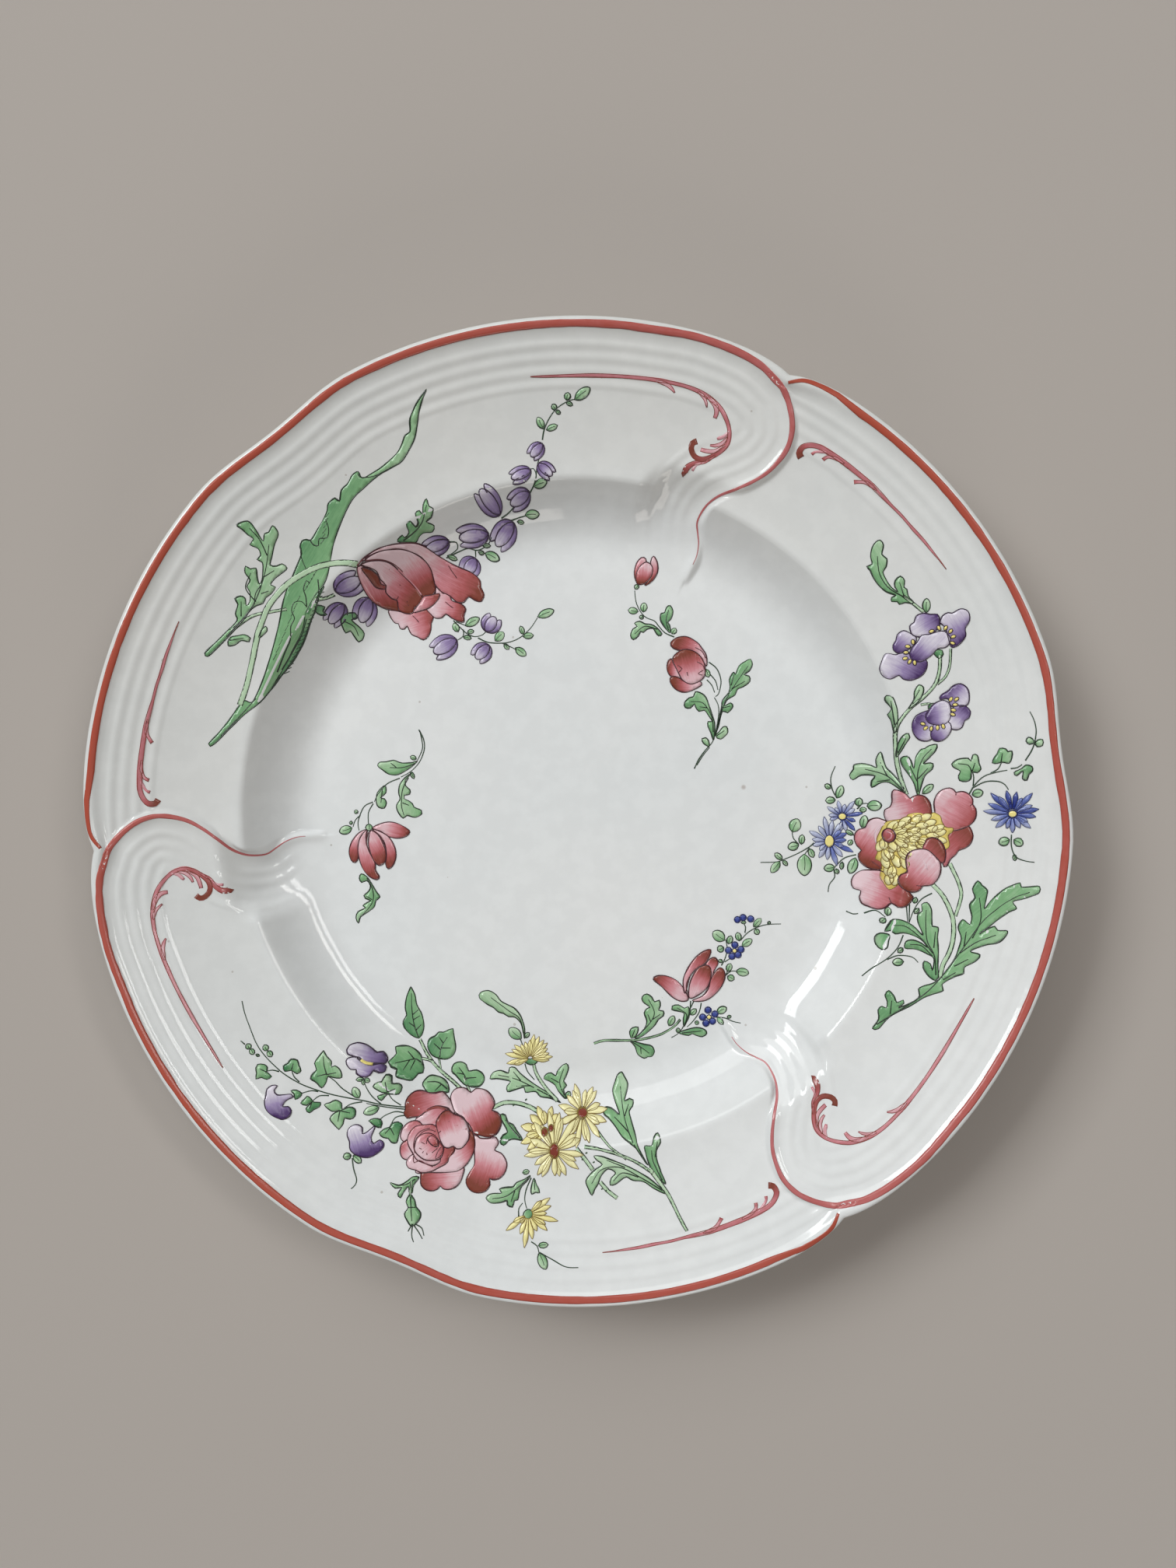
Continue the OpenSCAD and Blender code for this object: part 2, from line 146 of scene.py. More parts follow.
def dip(rho, a):
    """How far the outline falls short of the plain circle: a shallow hollow and a notch."""
    k, n = from_notch(a - 64), from_notch(a)
    hollow = 1.55 * (1 + np.cos(np.pi * np.clip(k / 11.5, -1, 1)))
    notch = 3.9 * np.exp(-np.abs(n) / np.where(n < 0, 3.0, 3.8))
    return hollow * ease((rho - 130) / 30) + notch * ease((rho - 170) / 12)


def distance(points, line):
    """Distance from each point to a line of short segments."""
    best = np.full(len(points), 1e9)
    for i in range(0, len(points), 4000):
        p = points[i:i + 4000, None, :]
        a, b = line[None, :-1], line[None, 1:]
        ab = b - a
        t = np.clip(((p - a) * ab).sum(-1) / (ab * ab).sum(-1), 0, 1)
        best[i:i + 4000] = np.sqrt((((p - a) - t[..., None] * ab) ** 2).sum(-1)).min(1)
    return best


def edge_points(a, turned=0.0):
    """Points along the middle of the edge line, at angles past a notch."""
    r = RIM - LINE - dip(183.0, a)
    return np.stack([r * np.cos(np.radians(a + turned)), r * np.sin(np.radians(a + turned))], -1)


near = scroll_rel[scroll_turn < 17.5]
section_line = np.vstack([edge_points(np.arange(60, 18, -0.5)), near, near[-1] + [[-6, 0.3]]])


def cove(rho, low, high):
    """Rise of the wall, 0 to 1: a long hollow that turns over sharply at the shoulder."""
    t = np.clip((rho - low) / (high - low), 0, 1)
    return 1 - (1 - t ** 2.6) ** 1.3


def base_top(rho, ramp):
    """Height of the face without its relief; ramp widens the cove beside a scroll."""
    return (WELL + (RIM_Z - RIM_RISE - WELL) * mix(cove(rho, FLOOR, SHOULDER),
                                            cove(rho, FLOOR - 3, SHOULDER + 9), ramp)
            + RIM_RISE * np.clip((rho - SHOULDER) / (RIM - SHOULDER), 0, 1) ** 1.5)


def relief(d, r):
    """Rounded bead under the painted line, then the soft ribs inside it."""
    bead = BEAD * np.exp(-(d / BEAD_HALF) ** 2)
    u = (d - RIB_START) / RIB
    ribs = RIB_HEIGHT / 2 * (1 - np.cos(2 * np.pi * u)) * ease(u / 0.3) * ease((RIBS - u) / 0.35)
    return bead + np.where((u > 0) & (u < RIBS), ribs * ease((r - 106) / 22), 0)


def face_z(rho, a):
    """Height of the glazed face at nominal radius rho, at angle a past the nearest notch."""
    r = rho - dip(rho, a)
    p = np.stack([r * np.cos(np.radians(a)), r * np.sin(np.radians(a))], -1)
    edge = RIM - rho
    own = edge - LINE                                   # from the section's own painted line
    gap = np.where(a > scroll_angle(r), 60.0, -60.0)    # from the scroll, negative before it
    close = (a > -16) & (a < 46) & (r > 80)
    away = distance(p[close], section_line)
    inside = a[close] > scroll_angle(r[close])
    rim_only = np.abs(r[close] - 181) < 6
    gap[close] = np.where(inside, away, -away)
    own[close] = np.where(inside, mix(away, own[close], ease((a[close] - 24) / 18)),
                          np.where(rim_only, own[close], -away))
    outer = edge < LINE
    own = np.where(outer & (gap > 0), edge - LINE, own)
    side = ease((gap + 2.6) / 2.2)
    fade = ease((r - 92) / 18)
    lift = 1.25 * np.exp(-np.maximum(gap, 0) / 15) * np.where(a > 26, 0, 1) * ease((26 - a) / 10)
    lift = lift * ease((176 - r) / 14)
    ramp = side * ease((26 - gap) / 12) * ease((30 - a) / 6)
    top = base_top(rho, ramp)
    return top + mix(relief(edge - LINE, r), relief(own, r) + lift, side) * fade


def back_z(rho):
    """Height of the back, a little thinner towards the edge."""
    return base_top(rho - 4, 0 * rho) - WALL + 1.2 * ease((rho - 150) / 34)


# Columns of the grid, as angles past a section's own scroll line, closer together at it.
COLUMNS = np.r_[np.arange(0, 13.9, 0.27), np.linspace(14, 26, 22, endpoint=False),
                np.linspace(26, 112, 62, endpoint=False), np.linspace(112, 120, 26, endpoint=False)]


def ring(rho, kind="face", dz=0.0, inset=0.0, tilt=(0.0, 1.0)):
    """One ring of points at nominal radius rho; inset moves them in along tilt."""
    rel = np.tile(COLUMNS, 3)
    a = rel + scroll_angle(np.full(rel.shape, min(rho, 180.0)))
    near_a = from_notch(a)
    rho_a = np.full(a.shape, float(rho))
    z = back_z(rho_a) if kind == "back" else face_z(np.minimum(rho_a, 182.9), near_a)
    r = rho_a - dip(rho_a, near_a) - inset * tilt[0]
    phi = np.radians(NOTCH + a + np.repeat(np.arange(3), len(COLUMNS)) * SECTOR)
    return np.stack([r * np.cos(phi), r * np.sin(phi), z + dz - inset * tilt[1]], -1)


FACE_R = np.r_[np.linspace(4, 88, 7), np.linspace(92, 128, 38), np.linspace(129.5, 156, 17),
               np.linspace(156.7, 181.6, 40)]
LIP = [
    (182.4, -0.12, (0.35, 0.93)), (183.1, -0.5, (0.7, 0.7)), (183.55, -1.1, (0.92, 0.38)),
    (183.7, -1.9, (1.0, 0.0)), (183.55, -2.7, (0.95, -0.3)), (183.1, -3.3, (0.75, -0.65))
]
BACK_R = np.r_[np.linspace(182.2, 150, 14), np.linspace(147, 112, 22), 109.5, 107.6]


def face_rings(inset=0.0, coarse=False):
    """The face and the lip, from the middle outward; coarse keeps one ring in three."""
    radii = FACE_R[::3] if coarse else FACE_R
    rings = [ring(q, inset=inset) for q in radii]
    return rings + [ring(q, dz=dz, inset=inset, tilt=t) for q, dz, t in LIP]


def back_rings(inset=0.0, coarse=False):
    """The back, from the lip in to the foot."""
    radii = BACK_R[::3] if coarse else BACK_R
    return [ring(q, "back", inset=inset, tilt=(0.0, -1.0)) for q in radii]


FOOT_COLUMNS = 300


def lathe(profile):
    """Rings of a turned piece from its radius and height at each step."""
    phi = np.linspace(0, 2 * np.pi, FOOT_COLUMNS, endpoint=False)
    return [np.stack([r * np.cos(phi), r * np.sin(phi), np.full(FOOT_COLUMNS, float(z))], -1)
            for r, z in profile]


def make_mesh(name, verts, faces, smooth=True):
    mesh = bpy.data.meshes.new(name)
    mesh.from_pydata([tuple(v) for v in verts], [], faces)
    mesh.validate()
    if smooth:
        mesh.shade_smooth()
    obj = bpy.data.objects.new(name, mesh)
    bpy.context.scene.collection.objects.link(obj)
    return obj


def skin(name, rings, capped=True):
    """A solid from a stack of rings, capped at both ends or joined last to first."""
    n, m = len(rings[0]), len(rings)
    verts = np.concatenate(rings) * MM
    i = np.arange(n)
    faces = []
    for j in range(m - 1 if capped else m):
        a, b = j * n + i, j * n + (i + 1) % n
        c, d = ((j + 1) % m) * n + i, ((j + 1) % m) * n + (i + 1) % n
        faces += np.stack([a, b, d, c], -1).tolist()
    if capped:
        for end, row in ((0, range(n - 1, -1, -1)), (m - 1, range(n))):
            verts = np.vstack([verts, verts[end * n:(end + 1) * n].mean(0)])
            top = len(verts) - 1
            row = [end * n + q for q in row]
            faces += [[row[q], row[(q + 1) % n], top] for q in range(n)]
    return make_mesh(name, verts, faces)


# ---------------------------------------------------------------- materials

def material(name):
    m = bpy.data.materials.new(name)
    m.use_nodes = True
    return m, m.node_tree, m.node_tree.nodes["Principled BSDF"]


def node(tree, kind, **values):
    n = tree.nodes.new(kind)
    for key, value in values.items():
        if key in n.inputs.keys():
            n.inputs[key].default_value = value
        else:
            setattr(n, key, value)
    return n


def ramp(tree, source, stops):
    """Colour ramp through (position, colour) stops."""
    n = tree.nodes.new("ShaderNodeValToRGB")
    e = n.color_ramp.elements
    while len(e) < len(stops):
        e.new(0.5)
    for k, (pos, col) in enumerate(stops):
        e[k].position = pos
        e[k].color = (*col, 1) if len(col) == 3 else col
    tree.links.new(source, n.inputs["Fac"])
    return n.outputs["Color"]


def blend(tree, fac, a, b, mode="MIX"):
    n = tree.nodes.new("ShaderNodeMix")
    n.data_type, n.blend_type = "RGBA", mode
    for value, socket in ((fac, n.inputs["Factor"]), (a, n.inputs[6]), (b, n.inputs[7])):
        if isinstance(value, bpy.types.NodeSocket):
            tree.links.new(value, socket)
        elif isinstance(value, (int, float)):
            socket.default_value = value
        else:
            socket.default_value = (*value, 1)
    return n.outputs[2]


def math_node(tree, op, a, b=0.0, c=None):
    n = tree.nodes.new("ShaderNodeMath")
    n.operation = op
    for k, value in enumerate((a, b, c)):
        if value is None:
            continue
        if isinstance(value, bpy.types.NodeSocket):
            tree.links.new(value, n.inputs[k])
        else:
            n.inputs[k].default_value = value
    return n.outputs[0]


def noise(tree, scale, detail=3.0, vector=None, roughness=0.55):
    n = node(tree, "ShaderNodeTexNoise", Scale=scale, Detail=detail, Roughness=roughness)
    if vector is None:
        vector = node(tree, "ShaderNodeTexCoord").outputs["Object"]
    tree.links.new(vector, n.inputs["Vector"])
    return n.outputs["Fac"]


def glaze_material():
    """Thick tin glaze: milky white, pooled a little blue-green, a few dark specks, with painted
    shade on the rim.
    """
    m, t, bsdf = material("tin_glaze")
    where = node(t, "ShaderNodeTexCoord").outputs["Object"]
    tone = ramp(t, noise(t, 9.0, 3, where),
                [(0.36, (0.82, 0.846, 0.858)), (0.66, (0.85, 0.866, 0.872))])
    fine = ramp(t, noise(t, 130.0, 4, where), [(0.42, (0.965, 0.965, 0.965)), (0.62, (1, 1, 1))])
    white = blend(t, 1.0, tone, fine, "MULTIPLY")
    out = node(t, "ShaderNodeVectorMath", operation="LENGTH")
    t.links.new(where, out.inputs[0])
    # Painted shade: the glaze is darker and warmer on the rim past the shoulder, most towards the
    # top and left, which turns away from the window lights.
    rim_shade = ramp(t, math_node(t, "MULTIPLY", out.outputs["Value"], 5.0),
                [(0.60, (1, 1, 1)), (0.68, (0.905, 0.895, 0.875))])
    way = node(t, "ShaderNodeVectorMath", operation="DOT_PRODUCT")
    t.links.new(where, way.inputs[0])
    way.inputs[1].default_value = (-1.4, 3.2, 0.0)
    shade_side = ramp(t, math_node(t, "ADD", way.outputs["Value"], 0.5),
                   [(0.0, (0.12,) * 3), (1.0, (1, 1, 1))])
    rim_shade = blend(t, shade_side, (1, 1, 1), rim_shade)       # painted shade: the rim darker and warmer, most on the side turned from the window lights
    white = blend(t, 1.0, white, rim_shade, "MULTIPLY")
    cells = node(t, "ShaderNodeTexVoronoi", Scale=85.0, Randomness=1.0)
    t.links.new(where, cells.inputs["Vector"])
    pick = node(t, "ShaderNodeSeparateColor")
    t.links.new(cells.outputs["Color"], pick.inputs[0])
    size = math_node(t, "MULTIPLY", pick.outputs["Red"], 0.055)
    speck = math_node(t, "LESS_THAN", cells.outputs["Distance"], size)
    rare = math_node(t, "GREATER_THAN", pick.outputs["Green"], 0.72)
    speck = math_node(t, "MULTIPLY", math_node(t, "MULTIPLY", speck, rare), 0.45)
    colour = blend(t, speck, white, (0.33, 0.27, 0.22))
    spot = node(t, "ShaderNodeVectorMath", operation="DISTANCE")
    t.links.new(where, spot.inputs[0])
    spot.inputs[1].default_value = (0.066, 0.0103, WELL * MM)      # a fired-in grey-brown spot
    mark = ramp(t, math_node(t, "MULTIPLY", spot.outputs["Value"], 400.0),
                [(0.18, (0.55,) * 3), (0.48, (0,) * 3)])
    colour = blend(t, mark, colour, (0.36, 0.28, 0.24))
    t.links.new(colour, bsdf.inputs["Base Color"])
    rough = ramp(t, noise(t, 45.0, 4, where), [(0.3, (0.05,) * 3), (0.7, (0.09,) * 3)])
    t.links.new(rough, bsdf.inputs["Roughness"])
    bsdf.inputs["IOR"].default_value = 1.52
    bsdf.inputs["Specular IOR Level"].default_value = 0.34
    bump = node(t, "ShaderNodeBump", Strength=0.35, Distance=0.0006)
    t.links.new(noise(t, 42.0, 3, where), bump.inputs["Height"])
    t.links.new(bump.outputs["Normal"], bsdf.inputs["Normal"])
    return m


def clay_material():
    """Buff fired clay where the foot is wiped bare: gritty, dry, stained by use."""
    m, t, bsdf = material("bare_clay")
    where = node(t, "ShaderNodeTexCoord").outputs["Object"]
    tone = ramp(t, noise(t, 60.0, 5, where), [(0.32, (0.50, 0.36, 0.25)), (0.7, (0.68, 0.54, 0.41))])
    grit = ramp(t, noise(t, 900.0, 2, where), [(0.38, (0.78, 0.78, 0.78)), (0.56, (1, 1, 1))])
    t.links.new(blend(t, 1.0, tone, grit, "MULTIPLY"), bsdf.inputs["Base Color"])
    bsdf.inputs["Roughness"].default_value = 0.85
    bump = node(t, "ShaderNodeBump", Strength=0.5, Distance=0.0003)
    t.links.new(noise(t, 700.0, 3, where), bump.inputs["Height"])
    t.links.new(bump.outputs["Normal"], bsdf.inputs["Normal"])
    return m


def enamel_material(name, washes, other, ink):
    """Brushed enamel: tint runs through the washes, pale to deep, broken by fine strokes
    along the brush. other is a second colour on the same piece, ink its outlines."""
    m, t, bsdf = material(name)
    tint = node(t, "ShaderNodeAttribute", attribute_name="tint").outputs["Fac"]
    brush = node(t, "ShaderNodeAttribute", attribute_name="brush").outputs["Vector"]
    line = node(t, "ShaderNodeAttribute", attribute_name="ink").outputs["Fac"]
    second = node(t, "ShaderNodeAttribute", attribute_name="second").outputs["Fac"]
    where = node(t, "ShaderNodeTexCoord").outputs["Object"]
    streak = math_node(t, "MULTIPLY_ADD", noise(t, 1.0, 3, brush, 0.6), 0.4, -0.2)
    wash = math_node(t, "MULTIPLY_ADD", noise(t, 260.0, 3, where), 0.30, -0.15)
    level = math_node(t, "ADD", math_node(t, "ADD", tint, streak), wash)
    colour = ramp(t, level, list(zip(np.linspace(0, 1, len(washes)), washes)))
    colour = blend(t, second, colour, other)
    colour = blend(t, line, colour, ink)
    t.links.new(colour, bsdf.inputs["Base Color"])
    rough = ramp(t, noise(t, 300.0, 3, where), [(0.3, (0.16,) * 3), (0.7, (0.27,) * 3)])
    t.links.new(rough, bsdf.inputs["Roughness"])
    bsdf.inputs["IOR"].default_value = 1.5
    bump = node(t, "ShaderNodeBump", Strength=0.25, Distance=0.0001)
    t.links.new(noise(t, 1.6, 3, brush), bump.inputs["Height"])
    t.links.new(bump.outputs["Normal"], bsdf.inputs["Normal"])
    return m


glaze = glaze_material()
clay = clay_material()
ENAMEL = {
    "crimson_enamel": enamel_material(
        "crimson_enamel",
        [(0.83, 0.62, 0.67), (0.67, 0.27, 0.31), (0.45, 0.11, 0.115), (0.23, 0.055, 0.035)],
        other=(0.46, 0.085, 0.05), ink=(0.075, 0.022, 0.028)),
    "green_enamel": enamel_material(
        "green_enamel", [(0.58, 0.75, 0.54), (0.24, 0.47, 0.235), (0.06, 0.22, 0.09)],
        other=(0.30, 0.25, 0.12), ink=(0.025, 0.042, 0.026)),
    "violet_enamel": enamel_material(
        "violet_enamel", [(0.80, 0.76, 0.85), (0.34, 0.26, 0.48), (0.09, 0.045, 0.165)],
        other=(0.92, 0.78, 0.24), ink=(0.04, 0.02, 0.05)),
    "yellow_enamel": enamel_material(
        "yellow_enamel", [(0.97, 0.91, 0.50), (0.92, 0.80, 0.26), (0.74, 0.54, 0.11)],
        other=(0.23, 0.04, 0.025), ink=(0.24, 0.16, 0.035)),
    "blue_enamel": enamel_material(
        "blue_enamel", [(0.66, 0.70, 0.82), (0.15, 0.20, 0.52), (0.015, 0.03, 0.24)],
        other=(0.92, 0.80, 0.30), ink=(0.02, 0.025, 0.11)),
}


# ---------------------------------------------------------------- dish pieces

def dress(obj, mat, slot, *nodes):
    """Gives a piece its material and its place in the part, and hides the CAD nodes it stands for.
    """
    obj.data.materials.append(mat)
    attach(obj, "root")
    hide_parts(*nodes)


face = skin("face_glaze_coat", face_rings() + face_rings(GLAZE, coarse=True)[::-1])
dress(face, glaze, "glaze", "face_glaze")
lip_r, lip_dz, _ = LIP[-1]
outer_back = [ring(lip_r, dz=lip_dz)] + back_rings()
inner_back = [ring(lip_r - 0.6, dz=lip_dz + 0.1)] + back_rings(GLAZE, coarse=True)
body = skin("clay_body_core", face_rings(CORE, coarse=True) + back_rings(CORE, coarse=True)
            + [ring(FLOOR - 1, "back", inset=CORE, tilt=(0, -1))])
dress(body, clay, "clay", "clay_body")
coat = skin("back_glaze_coat", outer_back + inner_back[::-1], capped=False)
dress(coat, glaze, "glaze", "back_glaze")
ring_clay = skin("foot_ring_bare", lathe(
    [(106.6, 4.4), (105.8, 3.4), (105.0, 1.6), (104.6, 0.55), (103.9, 0.1), (103.0, 0.0),
     (102.2, 0.1), (101.2, 0.5), (100.4, 1.4), (99.7, 3.2), (98.6, 4.4)]), capped=False)
dress(ring_clay, clay, "clay", "foot_ring")
skirt = skin("foot_outer_glaze", lathe(
    [(112, 4.05), (107.6, 4.1), (106.5, 3.6), (105.9, 2.6), (105.4, 1.3), (105.0, 1.0),
     (104.9, 1.6), (105.4, 3.2), (106.6, 4.5), (112, 4.5)]), capped=False)
base = skin("foot_inner_glaze", lathe(
    [(4, 4.0), (60, 4.0), (97.4, 4.0), (98.7, 3.5), (99.4, 2.4), (100.1, 1.3), (100.5, 1.0),
     (100.7, 1.5), (99.9, 3.2), (98.9, 4.5), (60, 4.5), (4, 4.5)]))
for part in (skirt, base):
    part.data.materials.append(glaze)
    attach(part, "root")


# ---------------------------------------------------------------- painting on the glaze

dish = BVHTree.FromPolygons([v.co for v in face.data.vertices],
                            [p.vertices for p in face.data.polygons])
DOWN = Vector((0, 0, -1))
ABOVE, EDGE_Z = 0.08, 0.038     # metres: where rays start, and the height taken off the dish
SUNK = -0.12                    # the enamel's underside, in mm, inside the glaze
RIB_CLEAR = 0.045               # extra lift of strokes over the ribs, in mm
LAYER, TOP_LEVEL = 0.0015, 0.40     # rise from one shape to the next, and the highest level


def sideways(line):
    """Unit vectors across a line at each of its points."""
    t = np.gradient(line, axis=0)
    t /= np.linalg.norm(t, axis=1, keepdims=True) + 1e-9
    return np.stack([-t[:, 1], t[:, 0]], -1)


def run_length(line):
    """Distance along a line to each of its points."""
    return np.r_[0, np.cumsum(np.linalg.norm(np.diff(line, axis=0), axis=1))]


def on_face(x, y, lift):
    """The point lift mm above the glaze at x, y in mm on the flat layout."""
    x, y = settle((x, y))
    hit, normal, _, _ = dish.ray_cast(Vector((x * MM, y * MM, ABOVE)), DOWN)
    if hit is None:
        hit, normal = Vector((x * MM, y * MM, EDGE_Z)), Vector((0, 0, 1))
    if normal.z < 0:
        normal = -normal
    return hit + normal * (lift * MM)


class Paint:
    """One painted piece: thin closed patches of enamel that lie on the glaze."""

    def __init__(self, name, slot, node_name):
        self.name, self.slot, self.node = name, slot, node_name
        self.verts, self.faces = [], []
        self.tint, self.ink, self.second, self.brush = [], [], [], []
        self.level = 0.0

    def patch(self, xy, tris, walls, lifts, tint, ink, second, brush):
        """Adds a closed patch: its points, triangles, and edge pairs to wall in."""
        n, at = len(xy), len(self.verts)
        self.verts += [on_face(x, y, lift) for (x, y), lift in zip(xy, lifts)]
        self.verts += [on_face(x, y, SUNK) for x, y in xy]
        self.faces += [[at + q for q in t] for t in tris]
        self.faces += [[at + n + q for q in reversed(t)] for t in tris]
        self.faces += [[at + b, at + a, at + n + a, at + n + b] for a, b in walls]
        self.tint += list(tint) * 2
        self.ink += [ink] * (2 * n)
        self.second += list(np.broadcast_to(second, (n,))) * 2
        self.brush += [tuple(b) for b in brush] * 2

    def stroke(self, points, width, tint=0.6, ink=0.0, lift=0.066, step=0.9, turn=0.0,
               second=0.0, wobble=0.05, smooth=True):
        """A brush line through points; width is one number or one for each point."""
        pts = rot(points, turn)
        lift += self.level
        line = spline(pts, step) if smooth else pts
        d = run_length(pts)
        e = run_length(line)
        e = e * d[-1] / e[-1]
        w = np.interp(e, d, np.broadcast_to(width, (len(pts),)))
        tone = np.interp(e, d, np.broadcast_to(tint, (len(pts),)))
        other = np.interp(e, d, np.broadcast_to(second, (len(pts),)))
        knots = np.arange(0, e[-1] + 6, 3.0)
        w = w * (1 + wobble * np.interp(e, knots, rng.normal(size=len(knots))))
        side = sideways(line)
        across = max(2, int(math.ceil(w.max() / 0.7)) + 1)
        off = np.linspace(0.5, -0.5, across)
        n = len(line)
        xy = line[:, None] + side[:, None] * (off[None, :, None] * w[:, None, None])
        xy = xy.reshape(-1, 2)
        tris = []
        for i in range(n - 1):
            for j in range(across - 1):
                a, b = i * across + j, i * across + j + 1
                tris += [[b, a + across, a], [b + across, a + across, b]]
        rim = ([i * across for i in range(n)] + [(n - 1) * across + j for j in range(1, across)]
               + [i * across + across - 1 for i in range(n - 2, -1, -1)]
               + [j for j in range(across - 2, 0, -1)])
        u = (off[None, :] * w[:, None]).ravel()
        v = np.repeat(e, across)
        seed = rng.uniform(0, 50)
        brush = np.stack([u * 2.2 + seed, v * 0.16, np.full(len(u), seed)], -1)
        rim = rim[::-1]
        over_ribs = RIB_CLEAR * ease((np.hypot(xy[:, 0], xy[:, 1]) - 146) / 10)
        self.patch(xy, tris, zip(rim, rim[1:] + rim[:1]), lift + over_ribs,
                   np.repeat(tone, across), ink, np.repeat(other, across), brush)

    def fill(self, outline, root, tip, shade=(0.5, 0.3, 0.0, 0.0), lift=0.05, step=1.0,
             grid=1.3, second=0.0, outline_ink=0.42, lean=0.0, rise=LAYER):
        """A petal or leaf. shade is the middle tint, then how much deeper it runs at the
        root, at the tip and along the sides. lean deepens one side against the other."""
        self.level = min(self.level + rise, TOP_LEVEL)
        lift += self.level
        loop = spline(outline, step, closed=True)
        loop = loop[np.linalg.norm(loop - np.roll(loop, 1, 0), axis=1) > 0.05]
        after = np.roll(loop, -1, 0)
        if np.sum(loop[:, 0] * after[:, 1] - after[:, 0] * loop[:, 1]) < 0:
            loop = loop[::-1]
        root, tip = np.array(root, float), np.array(tip, float)
        length = max(np.linalg.norm(tip - root), 1e-6)
        axis = (tip - root) / length
        cross = np.array([-axis[1], axis[0]])
        lo, hi = loop.min(0), loop.max(0)
        gx, gy = np.meshgrid(np.arange(lo[0], hi[0], grid), np.arange(lo[1], hi[1], grid))
        gx = gx + (np.arange(gx.shape[0])[:, None] % 2) * grid / 2
        g = np.stack([gx.ravel(), gy.ravel()], -1)
        g = g[inside(g, loop)]
        if len(g):
            g = g[distance(g, np.vstack([loop, loop[:1]])) > 0.45 * grid]
        n = len(loop)
        pts = [Vector(p) for p in loop] + [Vector(p) for p in g]
        out, _, tris, *_ = geometry.delaunay_2d_cdt(
            pts, [(i, (i + 1) % n) for i in range(n)], [list(range(n))], 1, 1e-5)
        xy = np.array([[p.x, p.y] for p in out])
        edges = dict.fromkeys((a, b) for t in tris for a, b in zip(t, list(t[1:]) + [t[0]]))
        follow = {a: b for (a, b) in edges if (b, a) not in edges}
        v = np.clip((xy - root) @ axis / length, 0, 1)
        u = (xy - root) @ cross
        half = max(np.abs(u).max(), 0.5)
        tint = (shade[0] + shade[1] * (1 - v) ** 1.5 + shade[2] * v ** 2
                + shade[3] * (np.abs(u) / half) ** 2 + lean * u / half)
        seed = rng.uniform(0, 50)
        brush = np.stack([u * 2.0 + seed, v * length * 0.14, np.full(len(u), seed)], -1)
        self.patch(xy, tris, follow.items(), np.full(len(xy), lift), tint, 0.0, second, brush)
        if outline_ink > 0:
            self.stroke(np.vstack([loop, loop[:1]]), outline_ink, ink=1.0,
                        step=step, wobble=0.22, smooth=False)

    def done(self):
        """Makes the mesh, with the paint's values kept on its points."""
        obj = make_mesh(self.name, self.verts, self.faces)
        for name, values in (("tint", self.tint), ("ink", self.ink), ("second", self.second)):
            layer = obj.data.attributes.new(name, "FLOAT", "POINT")
            layer.data.foreach_set("value", np.array(values, np.float32))
        layer = obj.data.attributes.new("brush", "FLOAT_VECTOR", "POINT")
        layer.data.foreach_set("vector", np.array(self.brush, np.float32).ravel())
        dress(obj, ENAMEL[self.slot], self.slot, self.node)


def inside(points, loop):
    """Whether each point lies inside the loop."""
    x, y = points[:, 0:1], points[:, 1:2]
    x0, y0 = loop[:, 0], loop[:, 1]
    x1, y1 = np.roll(x0, -1), np.roll(y0, -1)
    crosses = ((y0 > y) != (y1 > y)) & (
        x < (x1 - x0) * (y - y0) / np.where(y1 == y0, 1e-9, y1 - y0) + x0)
    return crosses.sum(1) % 2 == 1


# Painted line along each section's bead, from its rounded start to its scroll's end, and how
# far it turns from crimson to brick red on the way, for each section.
BRICK = [
    (0.9, 1, 1, 0.8, 0.5, 0.2), (0.9, 0.8, 0.8, 1, 0.8, 0.2), (0.9, 1, 0.8, 0.7, 0.5, 0.1)
]


def edge_path():
    """The line's three runs: its rounded start, round the edge, and down the scroll."""
    start = rot([(78, 158.3), (84, 159), (90, 157), (96, 153.8)], SECTOR)
    along = edge_points(np.arange(110.5, 19, -1.0), NOTCH)
    end = flat_line[scroll_turn < 18.4]
    return spline(start, 1.0), along, end


for k, where_name in enumerate(("upper", "lower", "right")):
    paint = Paint("edge_line_" + where_name, "crimson_enamel", "edge_line_" + where_name)
    start, along, end = edge_path()
    path = np.vstack([start, along, end])
    path = path[np.r_[True, np.linalg.norm(np.diff(path, axis=0), axis=1) > 0.3]]
    run = run_length(path)
    whole = run[-1]
    width = np.interp(run, [0, 6, 14, 30, whole - 110, whole - 80, whole - 58, whole - 40,
                            whole - 22, whole],
                      [1.0, 1.6, 2.0, 2.5, 2.7, 2.3, 1.8, 1.2, 0.8, 0.2])
    tone = np.interp(run, [0, 12, 40, whole * 0.4, whole - 90, whole],
                     [0.95, 0.85, 0.66, 0.6, 0.5, 0.5])
    brick = np.interp(run, [0, 40, whole * 0.35, whole * 0.6, whole - 90, whole],
                      BRICK[k])
    paint.stroke(path, width, tint=tone, turn=SECTOR * k, smooth=False, wobble=0.05,
                 second=brick)
    paint.done()

